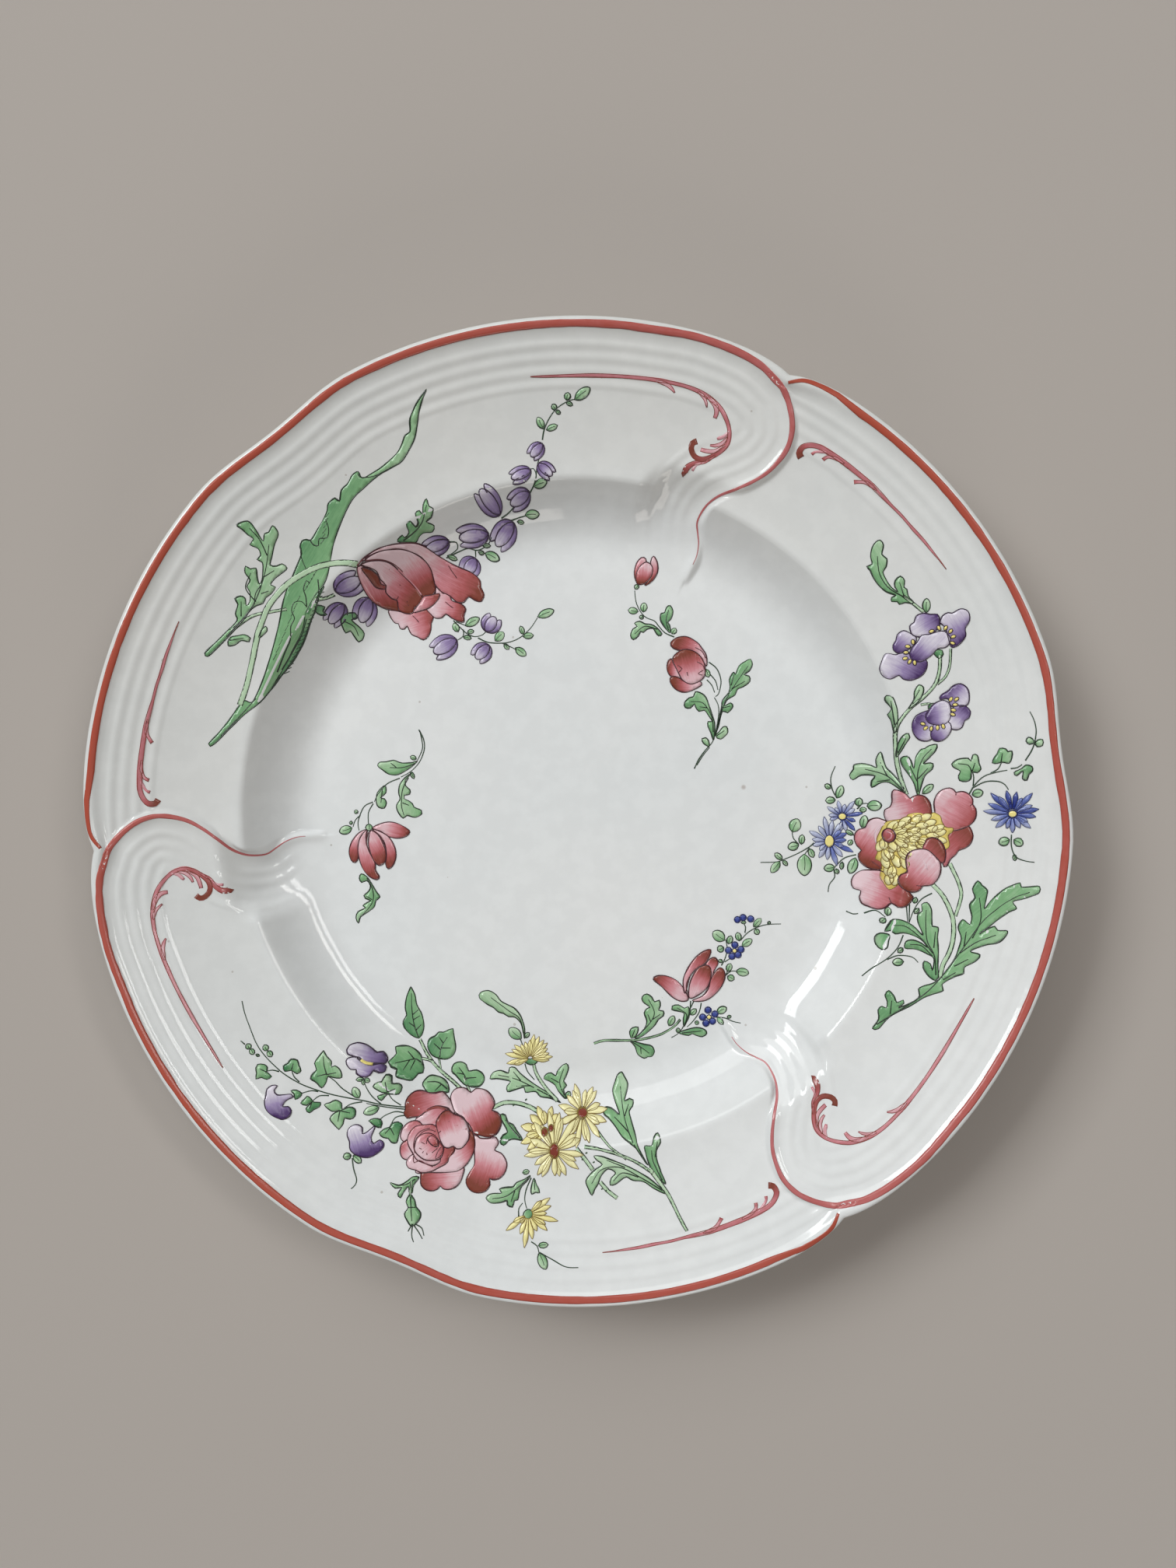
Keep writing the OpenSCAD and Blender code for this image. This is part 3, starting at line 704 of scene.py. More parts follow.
# One section's two scrolls: points with a width each, then the small lobes off them.
LONG = [
    (-16, 161.9, 0.2), (0, 162.2, 0.8), (10, 162.1, 1.0), (20, 161.5, 1.3), (30, 160.3, 1.6),
    (36, 159.2, 1.5), (42, 157.6, 1.3), (47, 155.4, 1.4), (51, 152.6, 1.4), (54, 149.4, 1.2),
    (56.2, 145, 1.3), (57, 141, 1.6), (56.2, 137.2, 1.9), (53.6, 134.4, 1.8), (50, 132.5, 1.5),
    (46.8, 131.9, 1.4), (44.4, 133, 1.7), (43.1, 135.6, 1.9), (43.6, 137.6, 2.1), (45.2, 138.3, 2.2)
]
LONG_END = [
    (52, 133.2, 0.5), (48, 130.9, 1.2), (44.6, 130.7, 1.2), (41.8, 129.2, 1.8), (40.8, 127.4, 2.4),
    (41.2, 126.9, 2.4)
]
LONG_LOBES = [
    [(30, 160, 0.5), (33.6, 158.9, 1.6), (35.8, 157.2, 1.5), (36.9, 155.6, 0.5)],
    [(45.4, 156.2, 0.5), (47.6, 153.9, 1.4), (48.5, 151.6, 1.1), (48.7, 150.3, 0.5)],
    [(48.6, 154.6, 0.5), (51.4, 151.6, 2.1), (52.3, 148.8, 1.9), (51.6, 146.4, 1.3)],
    [(57, 142, 0.4), (55.2, 139.8, 1.3), (53.4, 139.2, 1.3), (52.5, 138.9, 0.8)],
    [(56.4, 139.5, 0.4), (54.2, 137.3, 1.5), (51.8, 136.6, 1.4), (50, 136.8, 0.7)],
    [(55.4, 136.6, 0.5), (51.6, 134.6, 1.3), (48.6, 134.8, 1.7), (46.6, 135.4, 1.4)],
    [(48, 130.7, 0.4), (45, 129.9, 0.9), (44, 128.6, 1.2), (43.6, 128, 1.0)]
]
SHORT = [
    (83.3, 131.9, 2.5), (82.6, 133.6, 2.3), (83.8, 135.7, 2.0), (86.6, 136.4, 1.7),
    (90, 135.7, 1.9), (93.4, 133.7, 2.1), (97.4, 131.1, 1.9), (101, 128.4, 1.7), (105, 125.2, 1.9),
    (108.4, 122.4, 1.6), (111.4, 119.4, 1.0), (116, 114.6, 1.0), (120, 110.6, 0.9), (124, 106, 1.2),
    (128, 101.6, 1.1), (131.4, 97.4, 0.8), (134, 94.2, 0.4), (136.4, 91, 0.15)
]
SHORT_LOBES = [
    [(94, 133.4, 0.4), (90.6, 134, 1.1), (88.4, 133.9, 0.9), (87.1, 133, 1.3)],
    [(99, 129.6, 0.4), (95.6, 131.6, 1.2), (92.8, 132.1, 1.1), (91.2, 131, 1.4)],
    [(111, 119.8, 0.4), (107.2, 122.6, 1.5), (104.4, 123, 1.2), (102.6, 122.9, 1.5)]
]


EDGED = 1.3             # a stroke at least this wide, in mm, gets darker edges


def brushed(paint, rows, k, tint):
    """A stroke from rows of x, y and width, with a darker edge along each side."""
    rows = np.array(rows)
    paint.stroke(rows[:, :2], rows[:, 2], tint=tint, turn=SECTOR * k)
    if rows[:, 2].max() > EDGED:
        line = spline(rows[:, :2], 0.9)
        at = np.linspace(0, 1, len(line))
        w = np.interp(at, np.linspace(0, 1, len(rows)), rows[:, 2])
        side = sideways(line) * (w[:, None] * 0.42)
        for s in (side, -side):
            paint.stroke(line + s, 0.22, tint=0.95, turn=SECTOR * k, smooth=False, lift=0.1)


for k, where_name in enumerate(("upper", "lower", "right")):
    paint = Paint("long_scroll_" + where_name, "crimson_enamel", "long_scroll_" + where_name)
    for row in LONG_LOBES:
        brushed(paint, row, k, (0.15, 0.2, 0.25, 0.4))
    brushed(paint, LONG_END, k, np.linspace(0.4, 1.0, 6))
    brushed(paint, LONG, k, np.r_[np.full(12, 0.42), np.linspace(0.5, 1.25, 8)])
    paint.done()
    name = ("right", "upper", "lower")[k]
    paint = Paint("short_scroll_" + name, "crimson_enamel", "short_scroll_" + name)
    for row in SHORT_LOBES:
        brushed(paint, row, k, (0.4, 0.25, 0.3, 0.7))
    brushed(paint, SHORT, k, np.r_[1.25, 1.0, 0.7, np.full(9, 0.5), np.full(6, 0.42)])
    paint.done()

# ---------------------------------------------------------------- motifs

def local(root, tip, w, shape):
    """Points given as (along, across) turned into a shape from root to tip, w wide."""
    root, tip = np.array(root, float), np.array(tip, float)
    axis = tip - root
    side = np.array([-axis[1], axis[0]]) / np.linalg.norm(axis) * w / 2
    return [root + axis * t + side * s for t, s in shape]


OVAL = [
    (0, 0), (0, 0), (0.22, 0.75), (0.52, 1), (0.82, 0.72), (1, 0), (0.82, -0.72), (0.52, -1),
    (0.22, -0.75)
]
ROUND = [(0, 0), (0.15, 0.7), (0.5, 1), (0.85, 0.7), (1, 0), (0.85, -0.7), (0.5, -1), (0.15, -0.7)]


def leaflet(p, root, tip, w, tint=0.2):
    """A small oval leaf with a short midrib."""
    p.fill(local(root, tip, w, OVAL), root, tip, (tint, 0.35, -0.1, 0), step=0.8, grid=1.0,
           lean=0.2, outline_ink=0.39)
    p.stroke(local(root, tip, w, [(0.1, 0), (0.45, 0.08), (0.75, 0)]), 0.27, ink=0.9)


def leaflets(p, rows):
    """Small leaves from rows of root, tip and width."""
    for x0, y0, x1, y1, w in rows:
        leaflet(p, (x0, y0), (x1, y1), w)


def dot(p, x, y, r, tint=0.5, second=0.0, tall=1.0):
    """A round dab of radius r, or an oval one if tall isn't 1."""
    p.fill(local((x, y - r * tall), (x, y + r * tall), 2 * r, ROUND), (x, y - r), (x, y + r),
           (tint, 0.2, -0.1, 0.2), step=0.6, grid=0.8, second=second)


def leaf(p, outline, veins=(), tint=0.24):
    """A leaf from its outline, whose first point is its root, with inked veins."""
    o = np.array(outline, float)
    far = o[np.argmax(np.linalg.norm(o - o[0], axis=1))]
    p.fill(outline, o[0], far, (tint, 0.3, 0.0, 0.0), lean=0.28, outline_ink=0.45)
    for v in veins:
        p.stroke(v, np.linspace(0.48, 0.28, len(v)), ink=1.0)


def stem(p, points, w0, w1=None, tint=0.08):
    """A stem: a green stroke between two inked edges."""
    pts = spline(points, 1.2)
    w = np.linspace(w0, w0 if w1 is None else w1, len(pts))
    p.stroke(pts, w, tint=tint, smooth=False)
    side = sideways(pts) * (w[:, None] * 0.5)
    for s in (side, -side):
        p.stroke(pts + s, 0.38, ink=1.0, smooth=False, wobble=0.25)


def twig(p, *lines):
    """Thin inked twigs."""
    for line in lines:
        p.stroke(line, np.linspace(0.5, 0.32, len(line)), tint=0.9, ink=0.9)


BLOOM_LEVEL = 0.10      # blooms lie over the leaves and stems, by this many mm


def petal(p, outline, deep, pale, tint=0.05, range_=0.9, ink=0.41):
    """A petal that runs from its deep side to its pale side, over those before it."""
    p.fill(outline, deep, pale, (tint, range_, -0.1, 0.0), outline_ink=ink, rise=0.02)


def petals(p, rows, tint, range_, ink=0.41):
    """The petals of one bloom, from rows of outline, deep side and pale side."""
    for outline, deep, pale in rows:
        petal(p, outline, deep, pale, tint, range_, ink)


def creases(p, lines, ink, lift):
    """Thin inked lines over a bloom."""
    for line in lines:
        p.stroke(line, 0.3, ink=ink, lift=lift)


def hatch(p, count, start, step, dash, ink):
    """Short parallel inked dashes, one step apart."""
    for k in range(count):
        x, y = start[0] + k * step[0], start[1] + k * step[1]
        p.stroke([(x, y), (x + dash[0], y + dash[1])], 0.24, ink=ink)


def bell(p, root, tip, w):
    """A closed bell flower: two side petals and a middle one."""
    w = 1.1 * w
    for s in (1, -1):
        side = [(0, 0), (0.12, 0.62), (0.42, 1.0), (0.78, 0.96), (1.03, 0.66), (0.86, 0.36),
                (0.5, 0.3), (0.15, 0.1)]
        o = local(root, tip, w, [(t, q * s) for t, q in side])
        p.fill(o, root, tip, (0.18, 0.75, -0.1, 0.2), step=0.8, grid=1.0, outline_ink=0.38)
    o = local(root, tip, w, [(0.02, 0), (0.2, 0.4), (0.55, 0.56), (0.88, 0.36), (1.0, 0),
                             (0.88, -0.36), (0.55, -0.56), (0.2, -0.4)])
    p.level += 0.02
    p.fill(o, root, tip, (0.12, 0.8, 0.0, 0.1), step=0.8, grid=1.0, outline_ink=0.38)
    p.level -= 0.02


def rays(p, centre, inner, tips, w, tint=0.3, range_=0.4, ink=0.2):
    """Narrow petals from round a middle out to the given points."""
    c = np.array(centre, float)
    for x, y, *deeper in tips:
        q = np.array((x, y), float)
        root = c + (q - c) / np.linalg.norm(q - c) * inner
        o = local(root, q, w, [(0, 0.25), (0.35, 0.75), (0.72, 1), (1.02, 0.05), (1.0, -0.1),
                               (0.68, -0.95), (0.3, -0.7), (0, -0.25)])
        add = deeper[0] if deeper else 0.0
        p.fill(o, root, q, (tint + add, range_, 0, 0), step=0.8, grid=1.1, outline_ink=ink)


def fan(centre, start, end, count, radius, wobble=1.3):
    """Points round a middle, some nearer and some further."""
    c = np.array(centre, float)
    for k in range(count):
        a = math.radians(start + (end - start) * (k + 0.3 * math.sin(k * 4.1)) / max(1, count - 1))
        r = radius + wobble * math.sin(k * 2.4 + start)
        yield (c[0] + r * math.cos(a), c[1] + r * math.sin(a))


# ---------------------------------------------------------------- tulip spray

p = Paint("tulip_bells", "violet_enamel", "tulip_bells")
for root, tip, w in [
    ((-90.5, 84.3), (-81.8, 90), 6.6), ((-88.6, 80.6), (-94.3, 73.2), 5.4),
    ((-79.5, 83.5), (-84, 74.6), 7), ((-48.8, 105.3), (-57.8, 101.6), 5.4),
    ((-33.8, 108.6), (-45, 106.4), 6.8), ((-24, 112.6), (-31.2, 104.6), 7.8),
    ((-28.8, 114.6), (-35.4, 121.8), 7.4), ((-17, 121.6), (-24.6, 117.8), 5.6),
    ((-16.3, 128.8), (-23.6, 125.8), 5.4), ((-13.6, 131.2), (-8.4, 126.8), 5.2),
    ((-11.8, 138.2), (-16.2, 133.6), 5.2), ((-39.3, 100), (-43.6, 94), 7.4),
    ((-47.2, 68.6), (-56.3, 63.4), 8.2), ((-34.3, 66.4), (-39.6, 61), 7),
    ((-35.6, 71.6), (-32, 77.4), 7.2)
]:
    bell(p, root, tip, w)
p.done()

p = Paint("tulip_leaves", "green_enamel", "tulip_leaves")
stem(p, [(-128.5, 69), (-121, 74.5), (-114, 76.3), (-108, 77.4)], 1.0, 0.8)
leaf(p, [
    (-137, 59.5), (-138, 60.8), (-134, 64.8), (-130, 68.8), (-126, 73), (-126.5, 75.5),
    (-125.5, 79), (-126.5, 81), (-124.5, 82), (-122.8, 81.2), (-122.5, 78.5), (-121.2, 80),
    (-121, 83.5), (-122, 85.5), (-120.8, 88), (-122.5, 90.5), (-122.3, 93), (-120.5, 92),
    (-118.5, 92.3), (-118.2, 89), (-117.5, 86.5), (-116.5, 88), (-116, 92), (-116.2, 94.5),
    (-118, 95.5), (-116.7, 97), (-117.5, 99.5), (-120.5, 101), (-119, 103), (-121, 104.5),
    (-123, 106.5), (-125, 108.3), (-121, 109.6), (-118.5, 107), (-116.5, 103.5), (-115.5, 102.3),
    (-115, 105), (-113.5, 105.5), (-112, 107.9), (-110.5, 106.5), (-110, 104.5), (-111.5, 101),
    (-112.5, 97), (-113.3, 93.5), (-111, 93.2), (-109, 94), (-107.3, 92.5), (-109.5, 90.5),
    (-112, 88.5), (-113.5, 86.3), (-111.8, 85.5), (-113.5, 83), (-115.5, 81.5), (-116.5, 79.5),
    (-119, 78.5), (-121, 77), (-123.5, 73.5), (-127.5, 69), (-132, 64.3)
], [
    [(-130, 67), (-122, 76), (-118, 83), (-115, 92), (-113.5, 101)],
    [(-114.3, 97), (-117, 103), (-120.5, 107)], [(-117, 86), (-119, 83), (-119.6, 79)],
    [(-116, 89), (-112, 91.5)], [(-119, 80), (-122.5, 85), (-120.5, 90.5)],
    [(-117, 83), (-114.3, 84)], [(-124.5, 74.5), (-124.3, 80)]
], tint=0.38)
leaf(p, [
    (-129.6, 65), (-128.5, 66.8), (-126, 67.4), (-123.5, 67.8), (-121.5, 66.6), (-122, 65.2),
    (-124.8, 65.6), (-127, 64), (-129.5, 63.6)
], [[(-129, 65.6), (-124, 66.5)]])
leaf(p, [
    (-137, 26), (-137.6, 27), (-134, 31), (-130, 36), (-126.5, 41), (-124.5, 43.3), (-121.8, 42.5),
    (-120, 45), (-117, 52), (-114, 61), (-112, 68), (-110.5, 74), (-109.5, 79), (-108, 84),
    (-105.5, 89.5), (-103.5, 94), (-101.8, 98), (-102.3, 100.2), (-101.5, 102.4), (-99.8, 103),
    (-98.3, 102.8), (-95.5, 107), (-93, 111), (-91.8, 113.5), (-91.3, 116), (-88.8, 118),
    (-87.2, 117), (-86.3, 121), (-84, 123.3), (-82.3, 126.3), (-80, 127.7), (-78.6, 125.4),
    (-75, 127.2), (-71, 129.8), (-66, 134.2), (-64, 137.3), (-62.5, 141), (-60.7, 142.3),
    (-60.5, 147), (-58, 152.5), (-54.3, 157.6), (-54.3, 157.6), (-56.8, 151), (-58, 144.5),
    (-59, 140), (-61, 136), (-64, 131.6), (-68, 129.2), (-73, 126.3), (-78, 122), (-82, 118.3),
    (-85, 113.5), (-88.5, 106), (-90.5, 100), (-91.5, 95), (-93, 89), (-96, 83), (-97.5, 78),
    (-100, 73), (-103, 66), (-107, 59), (-111, 53.5), (-115, 47.5), (-119, 42.3), (-124, 38.3),
    (-130, 32.6), (-134.5, 27.8)
], [
    [(-112.5, 54), (-109.5, 61), (-107, 66.5), (-106.6, 71), (-105.2, 74), (-106.2, 77), (-105, 80),
     (-102.3, 80.2), (-100.6, 78.2)],
    [(-100.6, 78.2), (-100.8, 82), (-101.6, 85), (-100.4, 88), (-99.3, 87)],
    [(-96.2, 88.5), (-96, 84), (-97.5, 80)], [(-111, 55), (-107.5, 61), (-103.5, 68), (-101, 74)],
    [(-98.6, 102.8), (-97.2, 101), (-95.6, 101), (-95.2, 103.4), (-92.4, 103.8), (-91.6, 107),
     (-92.6, 110.5)],
    [(-102, 100), (-102, 96.5), (-100.5, 92.5)], [(-133, 30), (-126, 37.5), (-120, 44)],
    [(-80, 127), (-79, 125.6), (-74, 126.3), (-68, 129.4)], [(-112, 53), (-113.6, 50), (-115, 47.6)]
], tint=0.42)
p.fill([
    (-112.6, 51.6), (-110.4, 55.8), (-107.4, 61.6), (-104.6, 66.6), (-102.4, 71.4), (-100.8, 76.6),
    (-97.4, 82.6), (-94, 86), (-95.8, 82.2), (-97.8, 77.6), (-100.4, 72.4), (-103.4, 65.6),
    (-107.4, 58.6), (-110.4, 54)
], (-112, 52), (-95, 85), (0.8, 0.0, 0.0, 0.1), outline_ink=0.26)
hatch(p, 20, (-110.6, 53.6), (0.78, 1.55), (1.7, 1.0), 0.9)
hatch(p, 9, (-113.4, 58.5), (1.15, 2.7), (1.3, 2.3), 0.85)
hatch(p, 5, (-101.5, 84), (0.9, 1.5), (1.5, 1.9), 0.85)
hatch(p, 6, (-94.8, 101.5), (0.45, 1.9), (1.4, 1.8), 0.85)
stem(p, [
    (-81.5, 94.4), (-87, 94.7), (-92, 94.2), (-97, 92.8), (-102, 90.3), (-107, 87), (-111, 83),
    (-114.5, 78.5), (-117, 73), (-118.8, 68), (-120.2, 62), (-121.8, 55), (-123.6, 48), (-126, 41.5)
], 2.0, 1.8)
leaf(p, [(-118.5, 66.5), (-117.5, 69.5), (-115.8, 71), (-115.3, 69.4), (-116.8, 67.8)])
stem(p, [(-96, 81.3), (-93.5, 82), (-91, 83.4)], 0.8, 0.6)
leaf(p, [
    (-90.5, 75), (-88.5, 77.2), (-85.5, 77.8), (-85.2, 76.2), (-87, 75.2), (-84.5, 72.6),
    (-83.2, 70.6), (-84.2, 68), (-85.5, 67.3), (-87, 69.6), (-88, 71.2), (-89.6, 70.3),
    (-90.4, 72.6)
], [[(-89.5, 74.5), (-86.5, 72.8), (-85.3, 69.5)]])
leaf(p, [(-98, 77), (-97, 79), (-94.8, 78.8), (-95.6, 77.2), (-94.6, 76.2), (-96.5, 75.8)], tint=0.6)
leaf(p, [
    (-67, 103.3), (-65, 105.5), (-64.4, 104.8), (-62.6, 106.5), (-63, 109), (-61.5, 110.2),
    (-60, 108.6), (-58.8, 110), (-59.5, 113), (-58, 114), (-56.8, 112.6), (-56.6, 116),
    (-55.3, 118.3), (-54.4, 115.6), (-52.9, 114.8), (-54, 112), (-56, 110.5), (-53.4, 109.6),
    (-54.4, 107.6), (-57.5, 107), (-59.5, 105.4), (-61, 103.6)
], [[(-65, 103.8), (-60, 107.5), (-57, 111), (-55.3, 116)]], tint=0.55)
twig(p,
    [(-50.5, 99.6), (-46, 101.8), (-42, 103.3), (-38.5, 102.8), (-34.5, 104.8), (-32.6, 107.8)],
    [(-28.5, 113.6), (-25.5, 115.4), (-22, 118.4)], [(-25, 113), (-22, 114), (-19, 114.8)],
    [(-17, 121.4), (-15.2, 124), (-14.3, 127), (-15.3, 129.3), (-16.6, 129.2)],
    [(-14.4, 127), (-13.6, 131.6), (-12.4, 135)],
    [(-11.9, 139.5), (-11.2, 143), (-9.3, 147), (-6.5, 150.5), (-2.5, 153), (0.4, 153.8)],
    [(-39.3, 102.8), (-39.3, 100.4)],
    [(-48.5, 76), (-45.5, 73), (-43, 70.8), (-40, 69.7), (-37, 70.4), (-35.7, 71.7)],
    [(-44.6, 72.5), (-44.6, 70), (-46.8, 68.4)],
    [(-38.8, 69.2), (-35, 67.5), (-30, 67.1), (-26, 67.6), (-22, 69.4), (-18, 73), (-15.3, 77)],
    [(-29, 67), (-25.8, 65.6), (-23.5, 64.4)], [(-47.5, 75.6), (-44, 74.2)],
    [(-48.6, 105), (-46.2, 105), (-46, 103), (-48.6, 101)])
leaflets(p, [
    (-43.8, 74, -38.2, 77, 3.2), (-46.6, 71.6, -48.4, 75, 2.6), (-43, 71.4, -40.4, 71.9, 1.8),
    (-44.6, 69.6, -41.4, 69, 1.8), (-32, 68, -28.6, 71.4, 3.4), (-24, 65.2, -19.8, 62.2, 3.0),
    (-15.2, 77.4, -8.8, 80, 3.2), (-21, 69.8, -16.8, 70.2, 2.4), (-20.8, 70.5, -22, 73.8, 1.9),
    (-28.4, 66.8, -26.6, 64.6, 1.8), (-19.4, 115, -14, 115.4, 2.8), (-15.4, 123.4, -10.4, 125, 2.6),
    (-35.6, 102, -30.2, 99.6, 3.4), (-22.6, 112.8, -20, 112.6, 1.4),
    (-11.4, 143.4, -13.6, 147.4, 2.6), (-10.4, 143, -6.2, 144.6, 2.2),
    (-2.8, 153.4, -2.2, 156.2, 2.4), (-3, 152.8, -0.6, 151.6, 1.5), (-6.8, 150, -8, 152, 2),
    (-6.8, 149.8, -5.2, 148.6, 1.4), (0.2, 153.6, 5.8, 157.8, 3.6), (-50, 100.4, -46.4, 99.2, 1.8),
    (-38.2, 102.2, -36, 101.8, 1.4), (-36.4, 104.4, -33.4, 104.6, 1.4)
])
p.done()

p = Paint("tulip_bloom", "crimson_enamel", "tulip_bloom")
p.level = BLOOM_LEVEL
petal(p, [
    (-73.5, 79.8), (-73, 77), (-71.5, 75), (-70.2, 74.8), (-69.6, 73), (-68, 72.7), (-66.8, 73.9),
    (-66, 72.3), (-65, 70.6), (-62.6, 69.5), (-60.4, 68.5), (-58.5, 69.8), (-57.4, 72.4),
    (-57.2, 75), (-56.4, 77.2), (-57.4, 79.6), (-60, 80.6), (-65, 79.2), (-69, 79.6)
], (-57, 79.5), (-70.5, 75))
petal(p, [
    (-55, 89), (-52.5, 86.6), (-49.8, 86.8), (-49.2, 84), (-45.5, 82.6), (-43.6, 80.6), (-44.3, 78),
    (-44.4, 75.5), (-46.6, 75.8), (-49.4, 77.2), (-51.4, 78.6), (-53, 77.2), (-55.6, 77),
    (-57.4, 78.6), (-59, 80.8), (-56, 83.4)
], (-44, 79), (-57.5, 80))
petal(p, [
    (-80.4, 95.6), (-75.5, 99.5), (-70, 101.9), (-63, 103.4), (-58.5, 103), (-53, 99.9), (-47, 97),
    (-41, 94.6), (-37.8, 91.6), (-37.6, 89.2), (-36.3, 86.2), (-37.5, 83.5), (-40, 84),
    (-42.4, 85.3), (-44.4, 83.2), (-47, 83.3), (-49.6, 85.5), (-51.2, 86.4), (-53, 87.2),
    (-55, 89.2), (-56.5, 92), (-57.6, 96), (-61, 99.4), (-66, 100.9), (-72, 99.6)
], (-36, 88), (-62, 101), tint=0.12, range_=0.95)
petal(p, [
    (-81.8, 93.8), (-82.3, 91), (-81.2, 86), (-79, 82.5), (-75, 80.3), (-70, 79.5), (-66, 79),
    (-68, 83.5), (-72.5, 88.5), (-76, 91.5), (-79.5, 94)
], (-75, 79), (-79, 91), tint=0.25)
petal(p, [
    (-79, 96.2), (-75, 99), (-70, 100.6), (-65, 101), (-60, 99.3), (-57, 96), (-55.9, 91.5),
    (-55.4, 88), (-57, 85.8), (-61, 84), (-65, 79), (-67, 85), (-70, 92), (-74, 96)
], (-58, 87), (-66, 99.5), tint=0.05, range_=1.2)
petal(p, [
    (-80.6, 94.6), (-77, 96.2), (-73, 96.6), (-70, 95.6), (-66.5, 92), (-63, 88.5), (-60.6, 85.6),
    (-61.4, 82.6), (-63.6, 81.2), (-64.6, 78.9), (-67, 78.7), (-69.8, 80), (-70.2, 83.4), (-72, 84),
    (-74, 86.2), (-73.6, 88.6), (-75.2, 90.4), (-76, 93), (-78.5, 94)
], (-62.5, 83), (-76, 92), tint=0.1, range_=1.15)
petal(p, [
    (-80.8, 93.4), (-78, 93.3), (-75.8, 91.6), (-75.2, 88.9), (-73.6, 88.4), (-74, 87.2),
    (-77, 87.4), (-78.2, 88.8), (-79.2, 90.5)
], (-77, 90), (-74, 88), tint=0.9, range_=0.3)
petal(p, [
    (-64.3, 79.2), (-62.5, 81.8), (-61, 83.9), (-60, 85.4), (-57, 86), (-53.9, 86.6), (-54.2, 84.8),
    (-56, 82.5), (-58.5, 80.8), (-61.5, 79.8)
], (-55, 83.5), (-62, 81), tint=0.25, range_=0.6)
p.stroke([(-68.5, 94.4), (-66, 92), (-63, 88.9), (-60.8, 85.8)], 0.5, tint=0.3, lift=0.1)
creases(p, (
    [(-50, 97), (-48.6, 94.8), (-47, 92.6)], [(-51.6, 83.4), (-50, 82), (-48.6, 81)],
    [(-64.6, 78), (-63, 76.4), (-62.2, 75.4)], [(-70.4, 83.8), (-69.6, 85)],
    [(-79, 96), (-74, 97), (-70, 96.2), (-67, 93.8)], [(-82, 94), (-79.6, 96.6)]
), 0.8, 0.1)
p.done()

# ---------------------------------------------------------------- anemone spray

p = Paint("anemone_leaves", "green_enamel", "anemone_leaves")
stem(p, [
    (133.5, -25.5), (137, -29.5), (139.7, -35), (140.8, -40), (140.5, -46), (139, -51), (137, -55),
    (135.8, -60)
], 1.4)
stem(p, [(139.5, -17.5), (142, -23), (143.5, -28), (143, -32), (141.4, -37)], 1.2, 1.0)
twig(p,
    [(124, -33), (124.5, -39.5)], [(125.2, -33), (125, -39.5)],
    [(133.3, -28.7), (129.5, -31), (126.8, -35), (125, -40)],
    [(111, -38), (114.5, -36.4), (117.2, -38.4)],
    [(122.9, -44.5), (121, -49), (117.5, -53), (112, -57), (108.3, -60.6)],
    [(117, -53.8), (121, -52.2), (126, -52.6), (128.2, -54.6)],
    [(105.4, -38), (107.6, -38.8), (109.2, -38.4)])
leaf(p, [
    (111.5, -79.5), (113.8, -76), (113.6, -72.6), (115, -71.2), (116.6, -71.8), (117, -69.5),
    (116.2, -67), (117.6, -65.3), (119.6, -67.5), (120.4, -69.6), (122.8, -68.6), (123, -69.8),
    (121, -71.6), (126.5, -69), (128.6, -66.8), (128.2, -64.4), (130.4, -63), (133, -62.2),
    (136, -60), (139, -56), (141, -53), (142.5, -49), (143.5, -45), (142.4, -41), (144, -38.2),
    (145.5, -39.2), (146.6, -40), (147.3, -37), (146.5, -32.6), (148.4, -30), (147.5, -26.8),
    (149.4, -23.7), (151, -25.4), (152.8, -27), (152.5, -30), (151.8, -34), (154, -31), (157, -28),
    (160.5, -25.6), (164.6, -24.1), (165, -25.6), (168.5, -25.4), (171.4, -25.2), (171.4, -27.4),
    (169, -28.8), (165, -30.2), (162, -31.2), (163.4, -33.6), (160.5, -35), (156.5, -38),
    (150, -43.4), (153, -41.3), (155.6, -40.4), (156.6, -41.8), (160.2, -42), (159, -44.5),
    (156, -46.6), (152, -47.4), (146.8, -49.8), (150.2, -51), (148.4, -53.6), (144.6, -55.8),
    (144.4, -58), (141, -59.4), (136.6, -62.4), (137, -64.6), (133, -66.2), (130, -67.5),
    (125, -70.8), (118, -74.8), (113.6, -79.6)
], [
    [(113, -78), (122, -72), (131, -65.5), (138, -57.5), (145, -47.5), (152, -37.8), (161, -30.5),
     (168, -27.5)],
    [(147.5, -45), (150.5, -38), (150, -30)], [(141, -55.5), (146, -52.8)],
    [(143, -50.6), (149, -46.4), (156, -43.6)], [(144.5, -48), (145.3, -42.6)],
    [(118, -74), (118.6, -69)], [(137, -60.6), (141.5, -57.8)]
], tint=0.4)
